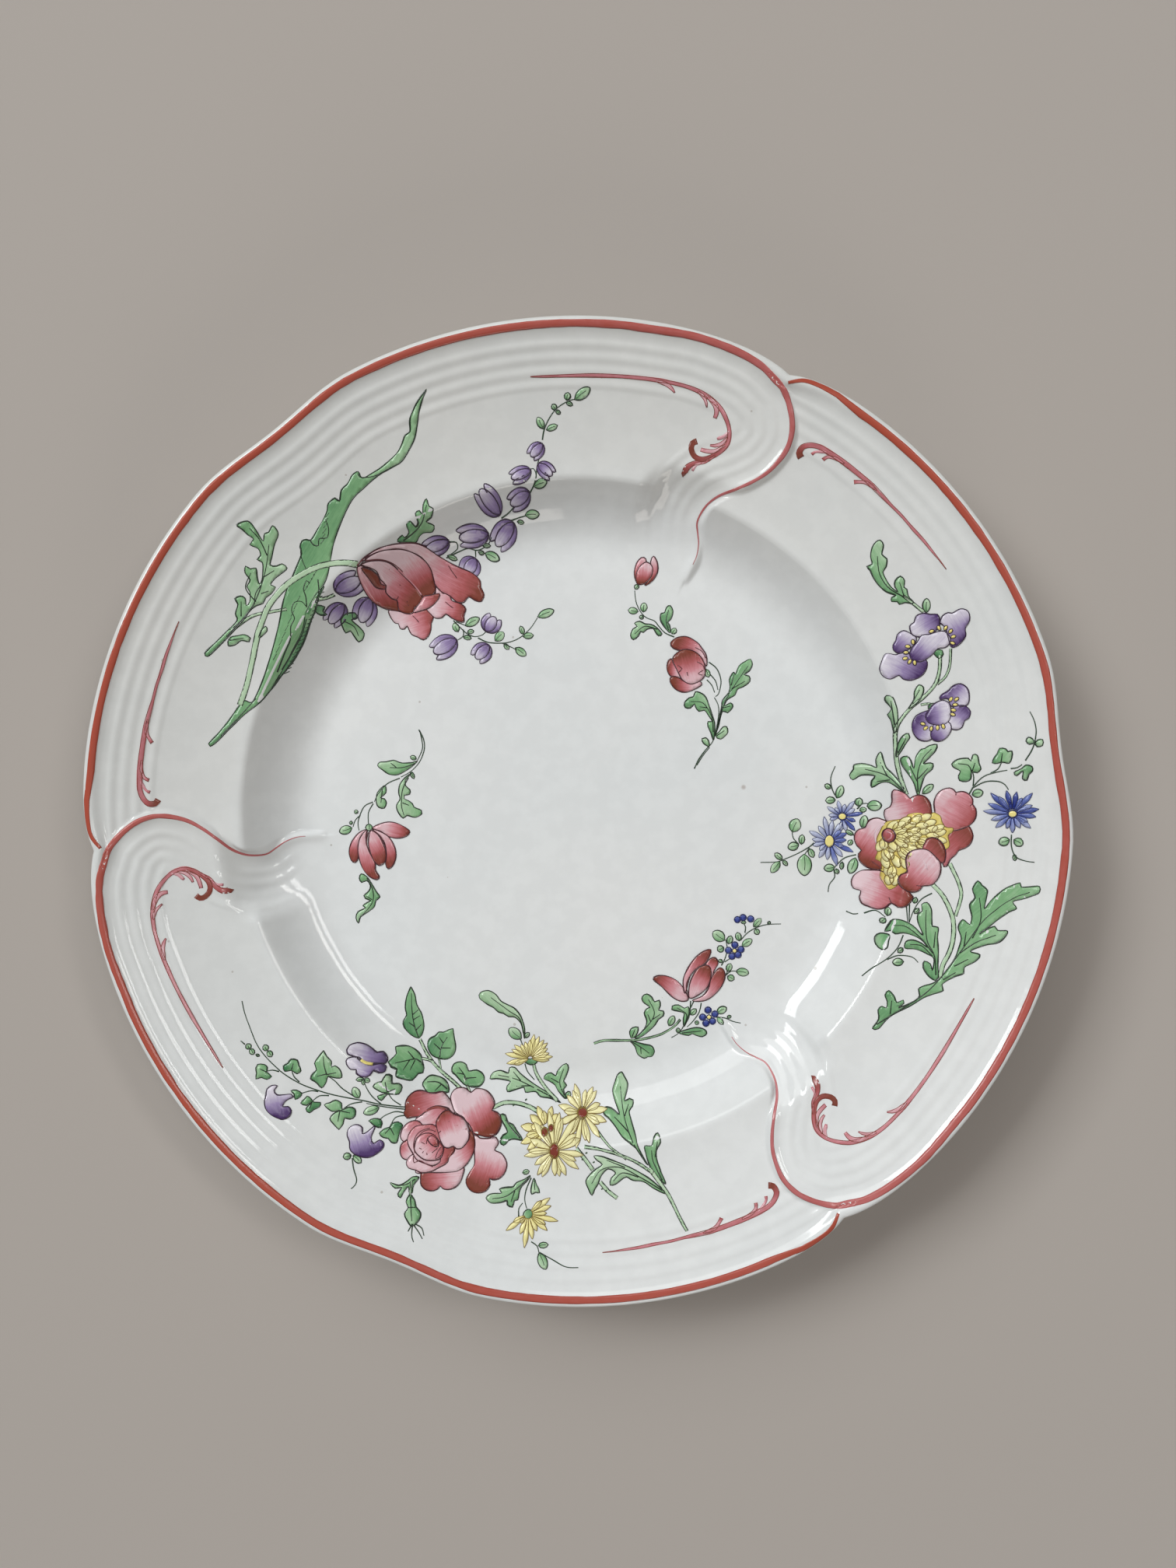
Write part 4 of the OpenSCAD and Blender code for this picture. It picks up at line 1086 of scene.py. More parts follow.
leaf(p, [
    (134.2, -61), (131.8, -59.4), (130, -56.4), (130.4, -54), (132.6, -55), (133.2, -57.4),
    (133.8, -53), (131.6, -51.4), (129, -50.2), (126.5, -49.6), (123.5, -49.4), (123.9, -46.9),
    (126.5, -46.3), (129.5, -47.4), (131.6, -49), (130, -46.6), (127, -44.8), (123, -43.7),
    (120, -44.1), (118.4, -43), (116.6, -43.6), (118.2, -40.5), (119.5, -38.8), (122.5, -39),
    (126.5, -41), (130, -44.4), (128.2, -39.5), (128.2, -36.6), (129.8, -35.4), (129.5, -33),
    (131.5, -32.2), (133, -34.5), (133.2, -38), (133.4, -41), (135.4, -41.3), (135.2, -45),
    (135.4, -50), (135.2, -55), (135.3, -60)
], [
    [(134.4, -59), (134, -52), (131.5, -46.5), (131, -40), (131.2, -35)],
    [(133.4, -51), (129.5, -45.8), (124, -41.4), (119.5, -41)],
    [(133.2, -52), (129.5, -48.4), (125.4, -48)], [(133.8, -49), (134.4, -43)]
], tint=0.4)
leaf(p, [
    (118, -44.6), (115.3, -44.4), (113.6, -46), (113.6, -48.6), (115.2, -50.2), (117, -49.4),
    (117.6, -46.8)
], tint=0.5)
leaflets(p, [
    (128.6, -34.4, 127, -36.4, 1.6), (126.8, -32.6, 127.6, -30.4, 1.8),
    (117.8, -37.8, 118.4, -34.6, 2), (117.2, -38.8, 115.6, -40.6, 1.8),
    (123, -54.4, 119, -54.8, 2.8), (122.8, -49.4, 121, -51, 1.8), (110, 3, 110.6, 6.2, 2.6),
    (113, 3, 117.4, 3.6, 4.0), (110.6, 1.2, 112.8, 2, 2), (111.6, -5.6, 112.4, -0.6, 2.6),
    (102.8, 6, 104.4, 11, 2.8), (102, 5.4, 98.2, 5, 2.7), (100.2, 9.8, 98, 11.4, 2),
    (109.2, -17.2, 107.2, -23.4, 3.2), (101.9, -21.2, 97.8, -21.8, 3),
    (104.6, -19, 104.2, -22, 1.4), (102.4, -21.8, 102.8, -23.8, 1.6), (108, -10.2, 107, -12.4, 1.8),
    (108.6, -8.4, 105.8, -6.6, 1.6), (147, 8.2, 150.8, 9.2, 3), (160.6, -8.2, 156.8, -9.6, 3.2),
    (162.2, -8.2, 165.4, -10, 3.2), (162.4, -13.6, 162.6, -16, 1.4), (85.2, -7.4, 87.4, -2.2, 4.6),
    (87.8, -12.4, 83.6, -13.6, 3.2), (88.8, -12.2, 89.2, -8.4, 2.4), (90, -16, 90.2, -24.6, 5.6),
    (92, -14, 93.6, -17.4, 2.4), (81.4, -18.2, 78.4, -15.8, 2.2), (80.4, -19, 77, -23.4, 3),
    (81.6, -18.6, 83.4, -20.6, 1.6), (129.6, 75.2, 129.6, 80.4, 2.8), (129.6, 8.4, 133.4, 11.8, 2.6)
])
twig(p,
    [(102.6, 6), (100.8, 9.5), (100.2, 14), (101.8, 18.6)], [(109.8, 1.8), (111.6, 4), (113.4, 4)],
    [(109.4, -16), (105.5, -17.4), (102.8, -20), (101.5, -22), (101.8, -25), (99.8, -28),
     (99.3, -31)],
    [(93.8, -11.6), (92, -13.2), (87.5, -15.8), (83, -17.8), (79, -19.2), (72.8, -19.4)],
    [(92, -13.6), (90.3, -16)], [(87.8, -12.2), (85.6, -9.6), (85.2, -6.6)],
    [(161.3, -6.4), (161.4, -11), (163, -14.6), (166.5, -16), (169.6, -16.4)],
    [(146, 8.4), (148, 12), (151, 15), (155, 16.5), (159.2, 17.4)],
    [(147, 10.6), (151.5, 13), (156, 13.2), (158.6, 12), (159.8, 10.2)],
    [(153.4, 16.2), (156, 18), (157.2, 20.4)], [(147.3, 11.4), (147.4, 15), (146.6, 17.4)],
    [(160.4, 18), (162.8, 18.4), (164.4, 19.6)],
    [(165.6, 21), (167.6, 24.4), (168.8, 28), (169.3, 32), (168.6, 35.6), (167, 39)])
leaf(p, [
    (146.7, 16.6), (146.4, 14), (144.8, 13), (142.6, 13.4), (142.2, 15.2), (142.8, 16.9),
    (140.8, 18), (139.8, 19.4), (141.8, 21.2), (145.4, 21.6), (146.4, 20.6), (147, 22.9),
    (148.6, 22.7), (149.2, 19.8), (149.9, 17.8), (148.6, 16.3)
], [[(146.7, 16.4), (145.5, 19), (142, 19.6)], [(146.8, 16.6), (147.8, 20)]])
leaf(p, [
    (157, 20.3), (155.5, 19.8), (153.8, 20), (154.4, 22), (155.5, 23.4), (156.4, 25.4),
    (158.5, 25.2), (159.3, 24.2), (160.8, 24.4), (160.8, 22), (159.8, 20), (158.2, 20.2)
], [[(157, 20.4), (157.4, 23.6)]])
leaf(p, [
    (164.8, 17.2), (162.6, 15.4), (161.7, 16.6), (164.2, 18), (165.8, 19.4), (168, 18.9),
    (168.2, 17.2), (167, 16), (166.2, 13.8), (164.7, 14.4)
])
leaf(p, [(168.7, 27.8), (167, 27), (165.8, 28.2), (166.6, 29.6), (168, 29)])
leaf(p, [(169, 27.6), (169.6, 26.2), (171.6, 26.6), (171.6, 28.8), (169.8, 28.6)])
stem(p, [
    (124.4, 8), (121.8, 17), (120.4, 27), (120.6, 34), (124.6, 40), (129.6, 44.4), (133.3, 48.8),
    (134.8, 54), (134.8, 59.6)
], 1.0)
stem(p, [(134.2, 49), (137, 51.8), (138.4, 56), (138.5, 62)], 0.7)
stem(p, [(128.5, 41.4), (131.5, 41.8), (134, 41)], 0.6)
leaf(p, [
    (124, 8.8), (119.5, 12.3), (117, 12.2), (114.4, 10.4), (114.3, 13), (115.2, 14.8), (111, 15.1),
    (108.2, 13.2), (107, 15), (108.3, 17.4), (108.4, 19), (111, 19.6), (114, 18.8), (115.6, 18),
    (115.2, 21), (116.4, 24), (117.4, 21), (118.4, 18), (120, 16), (122.4, 12.6)
], [
    [(123.5, 9.5), (118.5, 15), (112, 17.4)], [(118.8, 14.8), (116.6, 20)],
    [(119.6, 13.4), (115.8, 12.6)]
])
leaf(p, [
    (128, 7.6), (126.6, 12), (124.8, 15.4), (122.6, 19.4), (122.3, 21.6), (124, 22.4),
    (125.4, 20.6), (126.4, 17.8), (127, 22), (129, 25), (130.2, 25.2), (131.6, 26.2), (134.5, 26.7),
    (134, 24.4), (132, 22), (129.8, 19.6), (131.4, 19.8), (133.2, 19.6), (133, 17.6), (130.6, 15.4),
    (129.6, 13), (128.8, 10)
], [
    [(128, 9), (127.8, 16), (129.6, 21.5), (132.6, 25)], [(127.6, 13), (125, 18.6)],
    [(128, 14), (131.4, 17.8)]
])
leaf(p, [
    (121, 22), (121.2, 27), (122.6, 30.2), (124.3, 30.8), (124.8, 29.4), (123.4, 27), (122.4, 24.6)
], [[(121.4, 23.5), (123.4, 29)]])
leaf(p, [
    (120, 31), (118.5, 36), (117.4, 38), (118.4, 40), (116.2, 43.4), (116.5, 45), (118.5, 44.2),
    (119.8, 41), (120.4, 38), (120.6, 34)
], [[(119.8, 34), (118, 43)]])
leaf(p, [
    (124.2, 40), (126, 43.4), (126.2, 46.4), (127.7, 48.8), (129.4, 47.8), (129, 45), (127.4, 42.4)
], [[(125.4, 42), (128, 47)]])
leaf(p, [(134.6, 58.4), (132.6, 60.4), (133.6, 61.6), (135.6, 61.4), (136, 60)], tint=0.7)
leaf(p, [(131.2, 40), (131.6, 41.6), (133.6, 42), (134, 41), (132.6, 39.8)], tint=0.6)
stem(p, [(128.6, 75.5), (124.6, 78.8), (121, 81.5)], 1.0, 0.6)
leaf(p, [
    (124.6, 78.6), (122, 79), (120, 78.4), (119.2, 79.4), (117.2, 79.5), (117.2, 81), (118.6, 81.7),
    (115, 83.2), (112, 86), (110.2, 88.8), (109.2, 91), (108, 92.4), (109.8, 93.2), (109.2, 96),
    (109.6, 99), (110.8, 101), (112.4, 101.8), (113.7, 100), (113.2, 96.6), (115, 95), (114.8, 92),
    (113.8, 90.3), (115, 87.5), (117, 84.6), (119.4, 82.8), (118.2, 84.8), (118.2, 87), (120, 88.6),
    (121.6, 87), (121.4, 84.6), (122.5, 83.8), (123, 81.4), (125, 79.2)
], [[(121.5, 81), (116, 84.5), (112.6, 89.6), (111.6, 96)], [(121.5, 81.4), (119.8, 86.4)]])
p.done()

p = Paint("anemone_bloom", "crimson_enamel", "anemone_bloom")
p.level = BLOOM_LEVEL
petal(p, [
    (119, -2.4), (118.2, 0), (118.5, 2), (119.8, 3), (120.4, 5), (120.3, 8), (120.9, 9.7), (123, 9),
    (124.4, 8), (125.4, 6.6), (126.4, 7.4), (128.2, 7.9), (130.4, 7.4), (132.2, 5.4), (132.8, 3),
    (132.8, 0.4), (130, -2), (125, -3.4), (121, -3.6)
], (131.5, 5), (119.5, 1), tint=0.10, range_=0.85)
petal(p, [
    (146, -3.4), (147.4, -6), (147.5, -8), (146.4, -10.4), (144.4, -11.9), (142.6, -12.6),
    (141.6, -14.2), (139.8, -15.8), (138.4, -18.6), (137.4, -18.7), (137, -16), (138.2, -12),
    (138.6, -8), (140, -5), (143, -2.6)
], (145.5, -6.5), (138, -14), tint=0.6, range_=0.35)
petal(p, [
    (134, 2.6), (133.8, 5.4), (134.8, 8.2), (136.8, 10), (139.2, 10.6), (140.8, 9.8), (141.4, 8.9),
    (142.4, 9.2), (144, 9.3), (146, 8.3), (147.3, 6.4), (147.3, 4.6), (148.4, 3), (148.6, 0.6),
    (147.8, -1.6), (146, -3.4), (143.5, -4.6), (140, -5.4), (136, -4.4), (134.6, -1)
], (149, -2.5), (135, 5), tint=0.20, range_=0.70)
petal(p, [
    (119.2, -3), (117.5, -1.8), (116, -1.4), (114, -2.2), (113, -4), (112.6, -5.4), (110.6, -6),
    (109.2, -7.6), (108.9, -10), (109.8, -12.6), (111.2, -14.2), (110.2, -15.6), (110.4, -18),
    (112.2, -20.2), (115, -21.2), (117.4, -20.6), (118.4, -17), (118, -12), (118.6, -7)
], (110.8, -18), (118, -4.5), tint=0.06, range_=1.0)
petal(p, [
    (116.6, -21.4), (114, -21.5), (111, -22), (108.6, -24), (107.6, -26.6), (108.2, -29),
    (110.6, -29.8), (110, -32), (110.6, -34.4), (112.6, -35.3), (115, -35.9), (117.4, -35),
    (119.4, -33), (121.2, -34.2), (123.6, -33.8), (125.6, -32), (126.4, -30), (125.4, -28.9),
    (124, -26), (121, -23.4), (118, -22)
], (125, -31), (110, -26), tint=0.06, range_=0.95)
p.stroke([(118.4, -3.6), (116.6, -5.4), (115.6, -8), (115.8, -11)], (0.3, 0.7, 0.7, 0.3), tint=-0.5,
    lift=0.1)
creases(p, (
    [(141.4, 9.2), (141.4, 7.9)], [(117.4, -20.6), (114.4, -18.2)], [(119.4, -33), (118.8, -31)],
    [(147.2, 4.8), (146.4, 4)]
), 0.8, 0.1)
p.done()

p = Paint("anemone_stamens", "yellow_enamel", "anemone_stamens")
p.level = 0.2
STAMENS = [
    (116, -10), (117, -6.6), (118.6, -3), (121, -1.9), (124.2, -1), (125, 0.6), (128, 1.3),
    (130.6, 0.6), (132, -0.4), (133.4, 1.4), (136, 0.2), (136.6, -1.8), (138, -4), (140.6, -4.3),
    (140.2, -6), (138.8, -7), (139.4, -10.6), (138.2, -12.2), (134, -12.4), (130, -13),
    (126.6, -16), (124.6, -20), (122.6, -23), (121.6, -26), (119, -28.2), (117.6, -26),
    (116.6, -23.6), (117.4, -18.4), (115.5, -17.2), (116.3, -14)
]
p.fill(STAMENS, (120, -26), (130, 1), (0.75, 0.1, 0, 0), outline_ink=0.22)
heart = np.array([119.6, -7.8])
for reach in (24.6, 21.6, 18.6, 15.6, 12.6, 9.6, 6.6):      # outer rows first
    p.level += 0.012
    for a in np.arange(-125, 110, 142.0 / reach):
        turned = math.radians(a + rng.uniform(-60, 60) / reach)
        out = np.array([math.cos(turned), math.sin(turned)])
        tip = heart + out * (reach + rng.uniform(-0.7, 0.7))
        if inside(tip[None], np.array(STAMENS, float))[0]:
            side = np.array([-out[1], out[0]]) * rng.uniform(-1.2, 1.2)
            p.fill(local(tip - out * 4.8 + side, tip, 2.6, OVAL[1:]), tip - out * 4.8, tip,
                   (0.0, 0.55, -0.1, 0), step=0.7, grid=1.2, outline_ink=0.27, rise=0.0)
p.done()

p = Paint("anemone_front_petals", "crimson_enamel", "anemone_bloom")
p.level = 0.3
dot(p, 119.6, -7.8, 1.9, tint=0.6, tall=1.4)
p.stroke([(119, -6.4), (120.3, -7), (120.2, -8.8), (119.2, -9.6)], 0.5, tint=0.3, lift=0.1)
petal(p, [
    (130.6, -10), (131.2, -8.6), (133.2, -7.9), (135.4, -8.6), (137.2, -10.6), (138, -13.6),
    (137.8, -16), (137, -17.4), (134, -16), (131, -14.4), (129.8, -11.8)
], (134, -10), (131, -13), tint=0.72, range_=0.25)
petal(p, [
    (124.4, -19.4), (124.3, -16), (125.4, -13.4), (127.6, -12.4), (129.8, -12.2), (132, -12.8),
    (134.2, -14.8), (136, -17), (136.3, -20), (135.4, -23), (133.4, -25.4), (131, -25.9),
    (129.8, -26), (129, -27.4), (126.8, -28.4), (124.2, -28), (122.2, -26.2), (121.8, -24),
    (122.8, -22), (124.6, -21)
], (122, -27), (130.4, -16), tint=0.14, range_=0.95)
p.stroke([(129.8, -16), (130.8, -18), (131.6, -20)], (0.2, 0.7, 0.2), tint=-0.5, lift=0.1)
creases(p, ([(134.2, -14.8), (135.2, -16.2)], [(127.6, -25.9), (129.6, -26.1)]), 0.85, 0.1)
p.done()

p = Paint("anemone_violets", "violet_enamel", "anemone_violets")
p.level = BLOOM_LEVEL
petals(p, [
    ([(119.4, 60), (115.6, 60.4), (114, 57.2), (113.6, 54.6), (115, 52), (117.5, 51), (120.5, 52.4),
      (122, 51), (125, 50.5), (128.4, 52), (130.3, 55), (130, 58), (126, 59.5), (122, 61)],
     (128, 53), (116.5, 59)),
    ([(124.4, 67.6), (121.8, 68.8), (119.6, 67.4), (119.1, 65.2), (118.1, 63.6), (118.4, 61.6),
      (120.4, 60.4), (122.6, 61.2), (125.4, 63.4), (126.4, 66)], (119.4, 62), (124, 67)),
    ([(125.2, 67), (123.9, 70.4), (125.4, 71.8), (126, 74), (128.5, 75), (131.2, 74.6),
      (133.6, 74.6), (134.4, 72.6), (134, 69.6), (130, 66.6)], (133.4, 73.6), (126, 69)),
    ([(134.6, 71.4), (135.4, 74), (137.4, 75.2), (138.8, 75), (142, 76.6), (144.6, 75.6),
      (145.2, 72.4), (143.6, 69.4), (143.8, 66.6), (141.6, 63.6), (138.9, 62.5), (137.6, 66),
      (136.4, 70)], (142, 65), (137, 73.5)),
    ([(126.6, 64.4), (128.2, 67), (130.6, 67.2), (133, 68), (136, 68.4), (138, 66.6), (138.4, 64.4),
      (136.6, 62.4), (134, 62), (131.6, 59.4), (128.2, 57.3), (125.2, 58), (124.1, 60.4),
      (125, 62.6)], (126.4, 59), (131.6, 65)),
    ([(138, 43.6), (135.2, 43.4), (135.6, 45), (138, 46.6), (139.8, 48.4), (142.4, 49.1),
      (144.8, 47.4), (145.5, 44.5), (145, 41.5), (142, 40.6), (139, 41)], (138, 46.6), (144, 42.4)),
    ([(140, 40.4), (142.4, 41.2), (144.4, 40.8), (146, 39), (145.4, 36.4), (144, 35.5), (143, 33),
      (141, 32.1), (138.6, 33.2), (138, 37)], (145, 39), (140, 33.6)),
    ([(131.4, 39.4), (130, 39), (127, 37.5), (125.5, 34.4), (126, 31), (128, 28.6), (131, 28),
      (133.2, 29.6), (133.6, 34)], (126.6, 33), (132.4, 30)),
    ([(132.2, 31), (133, 28.5), (135.5, 27.9), (138, 29.5), (139.4, 32.4), (138.4, 35), (134, 35)],
     (133.6, 29.4), (137.6, 33)),
    ([(131, 38.8), (133, 41.6), (136, 43), (138.4, 42), (139.2, 39), (138.8, 36), (137, 34.2),
      (134, 33.9), (131.4, 34.8), (130.2, 37)], (131.4, 37), (137.6, 38.4))
], 0.18, 0.8, 0.36)
for x, y, a in [
    (131.6, 68.4, 200), (134.2, 69.6, 120), (136.6, 69.6, 60), (138.4, 68.4, 50), (139.4, 66.4, 20),
    (139.2, 64, -20), (125.2, 64.6, 100), (123.4, 63, 170), (122.8, 60.8, 180), (122.6, 58.6, 190),
    (124.2, 57.4, 240), (126, 57, 280), (139, 43.4, 60), (141, 43.4, 40), (140.6, 41.4, 0),
    (140, 39.4, -10), (139.8, 37.8, -20), (129.4, 34.4, 160), (130.4, 32.8, 220),
    (132.4, 32.6, 260), (134.6, 32.9, 270), (136.6, 33.4, 290)
]:
    d = np.array([math.cos(math.radians(a)), math.sin(math.radians(a))])
    middle = np.array([x, y])
    p.fill(local(middle - d, middle + d, 1.3, ROUND), (x, y), (x + 1, y), (0.3, 0, 0, 0),
           second=1.0, step=0.6, grid=1.0, outline_ink=0.3)
p.done()

p = Paint("anemone_asters", "blue_enamel", "anemone_asters")
p.level = BLOOM_LEVEL
rays(p, (104.6, -1.2), 1.6, [
    (103, 5), (105.6, 3.6), (108.8, 4.8), (109, 1.8), (99, 2.6), (102, 2.2), (99.6, -0.6),
    (100, -2.4), (111.6, 0.2, 0.5), (109.2, -3, 0.5), (109, -6.6, 0.5), (106, -6.8), (104, -7)
], 1.6, 0.12, 0.35, 0.18)
dot(p, 104.6, -1.2, 1.5, second=1.0, tall=0.9)
rays(p, (99.8, -11), 1.9, [
    (97.8, -1.4), (101, -2.8), (104.6, -3.4), (95.6, -5), (92, -7), (93.2, -10.2), (93.4, -12.6),
    (95.8, -17.4), (99, -18.2), (102.6, -20.4, 0.2), (104.6, -17), (108.4, -15, 0.5),
    (105, -13, 0.25), (106, -10.4, 0.35), (106.2, -7.8, 0.45), (104.2, -6.6, 0.35), (96, -14.4)
], 1.9, 0.10, 0.35, 0.18)
dot(p, 99.8, -11, 1.8, second=1.0, tall=1.4)
rays(p, (161.5, 1.4), 1.7, [
    (153.6, 8.8, 0.35), (156.4, 7.6, 0.1), (159.2, 9.8, 0.4), (162.8, 9.4, 0.5), (164.8, 7.2, 0.2),
    (168.4, 9, 0.2), (168.4, 4.6), (170.8, 3.2, 0.4), (169.8, 0.4, 0.2), (167, -1.6), (168, -3.8),
    (164.2, -3.8), (161.6, -5.6), (159.4, -4), (155.6, -3.8), (154, -1), (151.2, 2.2),
    (152.8, 5, 0.2)
], 1.9, 0.3, 0.3, 0.16)
rays(p, (160.5, 4.6), 0.2, [(160.4, 6.6, 0.6)], 1.3, 0.5, 0.4)
dot(p, 161.5, 1.3, 1.6, second=1.0, tall=0.85)
p.done()

# ---------------------------------------------------------------- rose spray

p = Paint("rose_leaves", "green_enamel", "rose_leaves")
twig(p,
    [(-63.5, -110.8), (-68, -110.4), (-74, -109.6), (-80, -108.2), (-86, -107), (-92, -105.6),
     (-97, -104), (-103, -101.6), (-109, -98), (-113, -94.6), (-117, -90.4), (-120, -86),
     (-122.5, -80), (-124.5, -74.6), (-125.6, -70)],
    [(-64, -111.6), (-72, -110.6), (-79, -109.2)],
    [(-73.5, -109.5), (-77, -106.5), (-79.5, -102.5), (-80, -99.8)],
    [(-83.5, -106.6), (-88, -103.6), (-91, -100.6), (-93.6, -98.8)],
    [(-80.6, -108.6), (-85, -109.4), (-88.6, -111.8)],
    [(-97, -104.4), (-99.5, -104), (-103, -104.8)], [(-93, -106), (-96.5, -106), (-99, -107.8)],
    [(-104, -100.6), (-106, -98.6), (-107, -96)], [(-111.5, -96.6), (-114, -96), (-116.4, -96.4)],
    [(-66, -110), (-69, -108), (-71, -105.4)],
    [(-64.5, -113), (-68, -112.4), (-72, -113.8), (-74, -115.4)],
    [(-64.6, -113.8), (-68, -114.6), (-69.8, -117.4)], [(-124.2, -86.2), (-125.8, -84.8)],
    [(-83.8, -129), (-83.2, -133), (-82, -136.5), (-82.5, -138.8), (-84, -140.2)],
    [(-20.5, -100), (-19.4, -103), (-16.6, -106)],
    [(-16.5, -137), (-18.4, -141.5), (-18.8, -145), (-18, -148)],
    [(-21, -151), (-21, -148), (-19.6, -146)], [(-16.2, -160), (-14, -161.6), (-13.2, -164)],
    [(-13, -163.8), (-8, -166.6), (-3, -169), (1.6, -169.2)],
    [(-60.6, -153), (-61, -157), (-60.2, -159.6)], [(-60.2, -153.4), (-58.4, -156), (-57, -158.6)],
    [(-59.8, -153), (-57.2, -154.6), (-56.4, -157.4)], [(-60.8, -153), (-62.4, -155.8)],
    [(-22.4, -90), (-21.4, -92.6)])
stem(p, [(-62, -89.8), (-59.5, -94), (-56, -98.5), (-52, -102), (-48, -105), (-45, -107.4)], 0.8)
stem(p, [(-54.3, -97), (-53.2, -100.4)], 0.5)
stem(p, [(-60.8, -96.3), (-57, -97.6), (-54.6, -99.8)], 0.6)
stem(p, [(-44.4, -104), (-41.2, -109)], 0.6)
leaf(p, [
    (-62.4, -89.4), (-65.5, -87.9), (-68.2, -85), (-68.7, -82.6), (-67.6, -80.6), (-68.2, -77.6),
    (-67.7, -73.4), (-66, -69.4), (-66, -69.4), (-64.4, -72.6), (-63.6, -76.6), (-61.6, -80.4),
    (-60.7, -85), (-61.4, -88.4)
], [
    [(-62.6, -89), (-64.6, -84), (-65.6, -78), (-65.8, -72)], [(-64.3, -85), (-66.6, -83.4)],
    [(-63.8, -86.4), (-61.8, -84.4)], [(-65.2, -80.4), (-63, -78.6)], [(-64.9, -82.4), (-62.4, -81)]
], 0.45)
leaf(p, [
    (-54, -97), (-57, -95.6), (-58.9, -92.5), (-58.5, -90), (-56.2, -88.8), (-54.8, -87.4),
    (-53, -87.5), (-51, -86.6), (-49.2, -86.1), (-49.2, -86.1), (-48.7, -89.5), (-48, -93.4),
    (-48.7, -96), (-51, -97.4)
], [
    [(-54, -96.6), (-53.6, -93), (-51.4, -89.4)], [(-53.8, -94), (-56.6, -91.6)],
    [(-53.6, -93.4), (-50, -93.6)], [(-53, -91.6), (-54.6, -89.4)]
], 0.45)
leaf(p, [
    (-59.4, -99.6), (-59.6, -101), (-61.2, -101), (-63, -102.7), (-66, -102), (-69, -100.6),
    (-69, -98.6), (-71, -97.6), (-72.4, -95.8), (-72.4, -95.8), (-70, -93.6), (-70.6, -91.4),
    (-66, -91.7), (-63, -93.4), (-61, -95.4), (-60.4, -97.2)
], [
    [(-60, -98.4), (-62.6, -96.4), (-66, -96.4), (-70, -96.6)], [(-63, -96.6), (-64.4, -99.6)],
    [(-65, -96.4), (-66.8, -99.2)], [(-63.4, -96.2), (-66, -93.4)]
], 0.45)
leaf(p, [
    (-42, -107), (-44.4, -105.8), (-47.4, -103), (-49, -101.6), (-48.5, -99.4), (-46, -98.7),
    (-43.6, -99.8), (-42.6, -102), (-39.5, -101.9), (-37, -103.3), (-36.2, -105.4), (-38, -107.3)
], [
    [(-42.4, -106.4), (-44, -103.4), (-46.4, -100.6)], [(-43.4, -104.4), (-39.4, -104.4)],
    [(-44.2, -103), (-47, -102.4)]
], 0.45)
leaf(p, [
    (-49.3, -108), (-52, -107.6), (-56, -107.6), (-58.4, -105.6), (-59.1, -104), (-57, -102.2),
    (-54, -102.7), (-51.5, -103.9), (-49.8, -105.8)
], [[(-50, -107), (-53.6, -104.6), (-57.6, -104)], [(-52.4, -105.4), (-54.4, -107)]], 0.45)
leaf(p, [
    (-93.5, -98.9), (-91, -99.5), (-88.4, -99.4), (-89, -96.6), (-91, -95), (-92.3, -95.5),
    (-92.3, -93.4), (-94, -91.5), (-95.3, -89.3), (-95.3, -89.3), (-97.2, -91.6), (-98.6, -94),
    (-97.8, -96.3), (-99.2, -97.8), (-99.9, -99.6), (-98.4, -100.6), (-97.3, -101.5),
    (-95.7, -103.1), (-94.1, -101)
], [
    [(-93.9, -98.4), (-95, -95), (-95.4, -91.4)], [(-94, -98), (-97.6, -98.8)],
    [(-93.8, -98.2), (-90.4, -97.6)]
])
leaf(p, [
    (-88.8, -111.4), (-91.6, -111.8), (-94.6, -109.3), (-92.5, -108.6), (-90.5, -107.7),
    (-88.2, -109), (-88, -111.3), (-85.5, -110.4), (-83.2, -111.2), (-83.2, -113.8), (-85, -114.8),
    (-87, -114.4), (-87.5, -116.6), (-89, -118.5), (-89, -118.5), (-90.9, -116.5), (-92.4, -114.4),
    (-91, -112.6)
], [[(-88.8, -111.6), (-89.4, -115.6)], [(-88.8, -111.6), (-85, -112.6)]])
leaf(p, [
    (-71, -105.4), (-73.2, -105.2), (-76.6, -103), (-75, -101.6), (-73.6, -101.5), (-72.5, -99.6),
    (-70.4, -100.4), (-70, -102.5), (-67.5, -103), (-66.2, -104.3), (-67, -106.1), (-69.3, -105.9),
    (-71.4, -106), (-73.4, -108.2), (-74.9, -106.6)
], [
    [(-71.2, -105.2), (-72.4, -101.8)], [(-71, -105), (-68.6, -104.4)],
    [(-71.4, -105.4), (-73.8, -106.4)]
])
leaf(p, [
    (-70, -118), (-72, -118.6), (-73.9, -120.3), (-72.4, -121.8), (-70.5, -122.2), (-69.3, -123.6),
    (-67.4, -123.8), (-66.8, -122), (-66.2, -119.5), (-65.2, -117.5), (-67, -116.2), (-69.4, -116.8)
], [[(-70, -118.2), (-68.4, -121)], [(-70, -118.4), (-71.8, -120.4)]], 0.55)
leaf(p, [
    (-99, -107.9), (-101.2, -109.3), (-103.3, -108.4), (-102, -107), (-101, -105.9),
    (-99.6, -106.8), (-98.4, -108.2), (-96, -108.4), (-96.4, -110), (-98.5, -111), (-100, -112.1),
    (-101.4, -110.6)
], [[(-99.2, -108.2), (-100, -110.6)]], 0.5)
leaf(p, [
    (-107, -96.3), (-109.4, -96.6), (-110, -94.6), (-108.4, -93.6), (-107.3, -92.2), (-105, -92.6),
    (-104.3, -94.6), (-103.5, -96.6), (-105, -97.6)
], [[(-107, -96), (-106.4, -93.8)]], 0.5)
